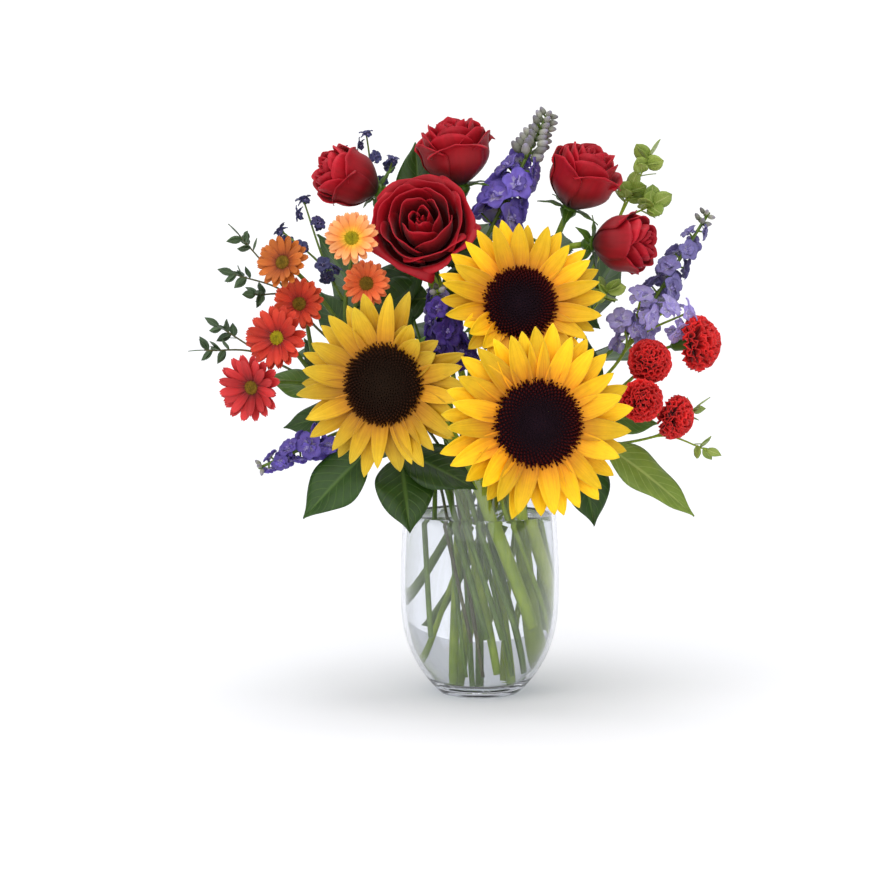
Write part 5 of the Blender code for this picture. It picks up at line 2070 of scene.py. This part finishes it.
def roses() -> list[Rose]:
    """The five roses."""
    thick = 0.0027
    return [
        Rose(
            "rose_crown", (-0.017, 0.006, 0.214), (-40, 74), 0.0250, 0.044, Stem(0.0105, 160, thick),
            (Leaf(0.8, (0.3, 0.9, 0.5), (0.0, -0.5, 0.9), 0.046, 0.026),), 0.35,
        ),
        Rose(
            "rose_middle", (-0.039, -0.028, 0.163), (-8, 25), 0.0320, 0.042, Stem(0.0105, -75, thick, (0.35, 0.2)),
            (Leaf(0.85, (0.9, -0.4, 0.4), (0.0, -0.8, 0.7), 0.040, 0.024),),
        ),
        Rose(
            "rose_left", (-0.090, 0.002, 0.197), (-68, 22), 0.0200, 0.044, Stem(0.0205, -126, thick, (0.35, 0.2)),
            (Leaf(0.75, (-0.95, -0.2, 0.15), (0.0, -0.5, 0.9), 0.044, 0.024),), 0.8,
        ),
        Rose(
            "rose_high_right", (0.070, 0.010, 0.197), (50, 62), 0.0240, 0.044, Stem(0.0105, 65, thick),
            (
                Leaf(0.8, (0.3, 0.9, 0.6), (0.0, -0.5, 0.9), 0.046, 0.026),
                Leaf(0.74, (0.75, 0.1, -0.55), (0.1, -0.9, 0.3), 0.050, 0.030, 0.3),
            ),
            0.6,
        ),
        Rose(
            "rose_right", (0.096, -0.018, 0.153), (66, 2), 0.0205, 0.042, Stem(0.0205, 50, thick),
            (Leaf(0.85, (-0.2, -0.9, 0.3), (0.3, -0.4, 0.9), 0.040, 0.024, 0.9, LEAF_FRESH),), 0.8,
        ),
    ]


def daisies() -> list[DaisySpray]:
    """The two daisy sprays."""
    return [
        DaisySpray(
            "daisy_spray_high", Stem(0.0205, -92, 0.0022, finish=STALK_DEEP), (-0.088, -0.020, 0.085), (-0.5, -0.2, 1),
            (
                Daisy("daisy_peach", (-0.086, -0.052, 0.156), (-5, 15), 0.0185, RAY_PEACH, EYE_GREEN),
                Daisy("daisy_amber", (-0.077, -0.038, 0.126), (4, 5), 0.0165, RAY_AMBER, EYE_OLIVE),
                Daisy("daisy_rust", (-0.132, -0.044, 0.140), (-20, 14), 0.0185, RAY_RUST, EYE_OLIVE),
            ),
            (
                Leaf(1.0, (-0.45, 0.5, 0.7), (-0.3, -0.7, 0.5), 0.046, 0.024, 0.6),
                Leaf(0.8, (0.45, 0.35, 0.8), (0.0, -0.8, 0.5), 0.050, 0.026, 0.4),
            ),
        ),
        DaisySpray(
            "daisy_spray_low", Stem(0.031, -133, 0.0022, finish=STALK_DEEP), (-0.100, -0.018, 0.050), (-1, -0.2, 0.7),
            (
                Daisy("daisy_coral", (-0.122, -0.030, 0.112), (-10, 10), 0.0185, RAY_CORAL, EYE_OLIVE),
                Daisy("daisy_red", (-0.136, -0.046, 0.090), (-18, 6), 0.0225, RAY_RED, EYE_GREEN),
                Daisy("daisy_crimson", (-0.152, -0.060, 0.058), (-22, -4), 0.0235, RAY_CRIMSON, EYE_OLIVE),
            ),
            (
                Leaf(1.0, (-0.85, 0.10, 0.30), (-0.2, -0.7, 0.7), 0.044, 0.024, 0.6, LEAF_MID),
                Leaf(0.93, (-0.6, 0.2, 0.9), (-0.3, -0.7, 0.3), 0.046, 0.022, 0.3),
                Leaf(0.8, (-0.85, 0.15, -0.15), (-0.3, -0.8, 0.5), 0.050, 0.026, 0.7),
            ),
        ),
    ]


def carnations() -> list[CarnationSpray]:
    """The two carnation sprays."""
    return [
        CarnationSpray(
            "carnation_spray_near", Stem(0.031, 10, 0.0018), (0.082, -0.014, 0.044), (1, -0.2, 0.6),
            (
                Carnation("carnation_bright", (0.114, -0.038, 0.075), (10, 18), 0.0150),
                Carnation("carnation_low", (0.107, -0.054, 0.048), (5, -6), 0.0145),
            ),
            (
                Leaf(0.8, (0.10, 0.15, 1.0), (0.2, -0.9, 0.3), 0.050, 0.028, 0.5),
                Leaf(0.8, (0.9, 0.2, -0.05), (0.2, -0.8, 0.5), 0.052, 0.026, 0.8, LEAF_MID),
            ),
        ),
        CarnationSpray(
            "carnation_spray_far", Stem(0.031, 38, 0.0018), (0.102, 0.004, 0.046), (1, 0.0, 0.6),
            (
                Carnation("carnation_side", (0.152, -0.018, 0.086), (62, 8), 0.0190),
                Carnation("carnation_edge", (0.134, -0.034, 0.035), (50, -12), 0.0150),
            ),
        ),
    ]


def spikes() -> list[Larkspur]:
    """The four larkspur spikes."""
    return [
        Larkspur(
            "larkspur_top", Stem(0.0, 0, 0.0022, finish=STALK_DEEP), (0.006, 0.004, 0.160), (0.047, 0.014, 0.242),
            20, 0.0150, 0.0170, SPUR_VIOLET, 0.60, (3, 8),
        ),
        Larkspur(
            "larkspur_right", Stem(0.031, 66, 0.0022, finish=STALK_DEEP), (0.118, 0.000, 0.112), (0.157, 0.004, 0.174),
            13, 0.0115, 0.0110, SPUR_MIST, 0.86,
        ),
        Larkspur(
            "larkspur_centre", Stem(0.031, -66, 0.0020), (-0.020, -0.032, 0.068), (-0.030, -0.044, 0.122),
            16, 0.0150, 0.0150, SPUR_DEEP, 0.95, (11, 13),
        ),
        Larkspur(
            "larkspur_low_left", Stem(0.031, -120, 0.0020, (0.5, 0.4), STALK_DEEP), (-0.100, -0.034, 0.024),
            (-0.150, -0.040, 0.002), 12, 0.0115, 0.0100, SPUR_VIOLET, 0.9,
        ),
    ]


def sprigs() -> list[Sprig]:
    """The fine sprigs of papery florets and of small leaves."""
    return [
        Sprig(
            "statice_right", Stem(0.031, 52, 0.0016), (0.098, -0.008, 0.078), (0.5, -0.5, 1),
            ((0.093, -0.034, 0.103), (0.108, -0.036, 0.120), (0.129, -0.030, 0.112), (0.144, -0.018, 0.108)),
            Tuft.FLORETS, 0.0, 0.0096, 3, petals=SPUR_LILAC,
        ),
        Sprig(
            "statice_high_left", Stem(0.0205, -160, 0.0015, finish=STALK_DEEP), (-0.068, 0.034, 0.168), (-0.3, 0, 1),
            ((-0.079, 0.026, 0.230), (-0.096, 0.030, 0.218), (-0.060, 0.024, 0.212)),
            Tuft.FLORETS, 0.0, 0.0052, 3,
        ),
        Sprig(
            "statice_left", Stem(0.0205, -109, 0.0015, finish=STALK_DEEP), (-0.100, 0.000, 0.125), (-0.5, 0, 1),
            ((-0.122, 0.008, 0.184), (-0.138, 0.004, 0.163), (-0.107, -0.022, 0.139)),
            Tuft.FLORETS, 0.0, 0.0060, 3,
        ),
        Sprig(
            "sprig_left_high", Stem(0.0205, -142, 0.0013, finish=TWIG), (-0.128, 0.012, 0.112), (-0.7, 0, 1),
            ((-0.165, 0.004, 0.158), (-0.170, 0.008, 0.132), (-0.154, -0.006, 0.118)),
            Tuft.LEAVES, 0.012, 0.0065, 5,
        ),
        Sprig(
            "sprig_left_low", Stem(0.031, -146, 0.0013, finish=TWIG), (-0.146, 0.006, 0.074), (-1, 0, 0.6),
            ((-0.189, -0.008, 0.080), (-0.180, 0.004, 0.096)), Tuft.LEAVES, 0.012, 0.006, 6, spread=0.8,
        ),
        Sprig(
            "bupleurum_right", Stem(0.0205, 82, 0.0015), (0.092, 0.024, 0.160), (0.5, 0, 1),
            ((0.117, 0.018, 0.212), (0.104, 0.022, 0.190), (0.120, 0.014, 0.180)),
            Tuft.ROUND_LEAVES, 0.015, 0.012, 5, LEAF_LIME,
        ),
        Sprig(
            "bupleurum_low", Stem(0.0205, 20, 0.0013), (0.072, -0.012, 0.100), (0.5, -0.2, 1),
            ((0.086, -0.030, 0.122), (0.074, -0.026, 0.118)), Tuft.ROUND_LEAVES, 0.014, 0.011, 4, LEAF_LIME,
        ),
        Sprig(
            "sprig_right_low", Stem(0.031, 24, 0.0013), (0.118, -0.006, 0.020), (1, 0, 0.3),
            ((0.148, -0.016, 0.042), (0.154, -0.022, 0.013)), Tuft.LEAVES, 0.012, 0.0065, 4, LEAF_LIME,
        ),
    ]


def branches() -> list[Salal]:
    """The five leafy branches."""
    return [
        Salal(
            "salal_left", Stem(0.031, -106, 0.0020, finish=STALK_DEEP), (-0.072, -0.048, 0.018), (-1, -0.6, 0.1),
            (
                Leaf(1.0, (-0.85, -0.2, -0.75), (-0.2, -0.8, 0.6), 0.060, 0.040, 0.5),
                Leaf(0.75, (0.15, -0.75, -0.85), (0.1, -0.8, 0.5), 0.056, 0.040, 0.3),
                Leaf(0.78, (0.85, -0.45, -0.32), (0.0, -0.8, 0.6), 0.056, 0.034, 0.2),
            ),
        ),
        Salal(
            "salal_right", Stem(0.031, -8, 0.0020), (0.076, -0.022, 0.022), (1, -0.4, 0.1),
            (
                Leaf(1.0, (0.85, -0.15, -0.55), (0.3, -0.75, 0.6), 0.078, 0.032, 0.7, LEAF_FRESH),
                Leaf(0.8, (0.25, -0.45, -0.9), (0.3, -0.8, 0.4), 0.054, 0.036, 0.3),
            ),
        ),
        Salal(
            "salal_high", Stem(0.0105, -160, 0.0018, finish=STALK_DEEP), (-0.041, 0.027, 0.162), (-0.3, 0, 1),
            (
                Leaf(1.0, (-0.05, -0.05, 1.0), (0.1, -0.9, -0.1), 0.054, 0.032, 0.6),
                Leaf(0.9, (-0.2, 1.0, 0.5), (0, -0.3, 0.9), 0.050, 0.030),
                Leaf(0.55, (-0.5, 0.9, 0.3), (-0.2, -0.2, 0.9), 0.052, 0.032),
                Leaf(0.84, (-0.9, -0.1, -0.45), (-0.1, -0.9, 0.3), 0.056, 0.034, 0.3),
                Leaf(0.72, (-0.75, -0.1, -0.05), (0.1, -0.9, 0.2), 0.050, 0.034, 0.5),
                Leaf(0.66, (0.6, -0.1, 0.75), (-0.1, -0.9, 0.2), 0.044, 0.030, 0.4),
            ),
        ),
        Salal(
            "salal_back_left", Stem(0.031, 178, 0.0020, finish=STALK_DEEP), (-0.075, 0.060, 0.090), (-0.5, 0.6, 1),
            (
                Leaf(1.0, (-0.4, 0.4, 0.9), (0.3, 0.6, 0.6), 0.074, 0.050),
                Leaf(0.75, (-0.9, 0.5, 0.2), (-0.1, 0.4, 0.9), 0.074, 0.050, 0.7),
                Leaf(0.6, (0.3, 0.9, 0.3), (0.0, 0.2, 0.9), 0.074, 0.050, 0.3),
                Leaf(0.35, (-0.6, 0.8, -0.3), (-0.2, 0.5, 0.8), 0.062, 0.040),
            ),
        ),
        Salal(
            "salal_back_right", Stem(0.031, 92, 0.0020, finish=STALK_DEEP), (0.070, 0.064, 0.090), (0.5, 0.6, 1),
            (
                Leaf(1.0, (0.4, 0.4, 0.9), (-0.3, 0.6, 0.6), 0.074, 0.050),
                Leaf(0.75, (0.9, 0.5, 0.2), (0.1, 0.4, 0.9), 0.074, 0.050, 0.7),
                Leaf(0.6, (-0.3, 0.9, 0.3), (0.0, 0.2, 0.9), 0.074, 0.050, 0.3),
                Leaf(0.35, (0.6, 0.8, -0.3), (0.2, 0.5, 0.8), 0.062, 0.040),
            ),
        ),
    ]


# ---------------------------------------------------------------------- studio


@dataclass
class Studio:
    """The pale floor, the soft light and the camera."""

    target: Place = (-0.031, 0.0, 0.179)
    distance: float = 1.6
    elevation: float = 5.0
    lens: float = 96.0
    floor_side: float = 60.0
    sky: float = 0.66
    dim_side: float = 0.35
    backdrop: float = 1.1

    def build_floor(self) -> None:
        """Lays the pale floor."""
        deselect()
        bpy.ops.mesh.primitive_plane_add(size=self.floor_side, location=(0, 0, 0))
        floor = bpy.context.object
        floor.name = "studio_floor"
        material, tree, shader = new_material("studio_paper")
        uneven = group_value(tree, mottle_group(), Scale=9.0, Contrast=0.02)
        tone = tree.mix(1.0, (0.93, 0.93, 0.94, 1), uneven, "MULTIPLY")
        material.node_tree.links.new(tone, shader.inputs["Base Color"])
        shader.inputs["Roughness"].default_value = 0.9
        shader.inputs["Specular IOR Level"].default_value = 0.0
        floor.data.materials.append(material)

    def build_light(self) -> None:
        """Hangs the soft light: an even sky, darker at its sides to edge the glass, and two broad lamps."""
        world = bpy.data.worlds.new("studio")
        bpy.context.scene.world = world
        world.use_nodes = True
        tree = Tree(world.node_tree)
        soft = world.node_tree.nodes["Background"]
        soft.inputs["Color"].default_value = (0.955, 0.965, 1.0, 1)
        way = tree.add("ShaderNodeSeparateXYZ", Vector=tree.add("ShaderNodeTexCoord").outputs["Generated"])
        aside = tree.math("ABSOLUTE", way.outputs[0])
        level = tree.add(
            "ShaderNodeMapRange", Value=aside, From_Min=0.75, From_Max=0.95,
            To_Min=self.sky, To_Max=self.sky * self.dim_side,
        )
        world.node_tree.links.new(level.outputs[0], soft.inputs["Strength"])
        white = tree.add("ShaderNodeBackground", Color=(1, 1, 1, 1), Strength=self.backdrop)
        path = tree.add("ShaderNodeLightPath")
        both = tree.add(
            "ShaderNodeMixShader", n0=path.outputs["Is Camera Ray"], n1=soft.outputs[0], n2=white.outputs[0]
        )
        world.node_tree.links.new(both.outputs[0], world.node_tree.nodes["World Output"].inputs["Surface"])
        self.sun("overhead", (-0.04, 0.06, 1.0), 1.2, 48)
        self.sun("front", (-0.35, -1.0, 0.5), 1.5, 90)

    def sun(self, name: str, place: Place, strength: float, angle: float) -> None:
        """Adds a distant soft light.

        Args:
            name: Its name.
            place: Where it shines from.
            strength: How strong it is.
            angle: How broad it looks, in degrees.
        """
        lamp = bpy.data.lights.new(name, "SUN")
        lamp.energy = strength
        lamp.angle = math.radians(angle)
        made = bpy.data.objects.new(name, lamp)
        made.matrix_world = facing(Vector(place), Vector(place))
        bpy.context.scene.collection.objects.link(made)

    def build_camera(self) -> None:
        """Sets up the camera."""
        camera = bpy.data.cameras.new("camera")
        camera.lens = self.lens
        camera.sensor_width = 36.0
        made = bpy.data.objects.new("camera", camera)
        target = Vector(self.target)
        back = heading(0, self.elevation)
        made.matrix_world = facing(target + back * self.distance, back)
        bpy.context.scene.collection.objects.link(made)
        bpy.context.scene.camera = made

    def build(self) -> None:
        """Makes the studio."""
        self.build_floor()
        self.build_light()
        self.build_camera()
        bpy.context.scene.view_settings.view_transform = "Standard"


def main() -> None:
    """Builds the vase, the flowers, the greenery and the studio."""
    logging.basicConfig(level=logging.INFO, format="%(message)s")
    VASE.build()
    for plants in (sunflowers(), roses(), daisies(), carnations(), spikes(), sprigs(), branches()):
        for plant in plants:
            plant.build()
    Studio().build()
    bpy.context.view_layer.update()


if __name__ == "__main__":
    main()
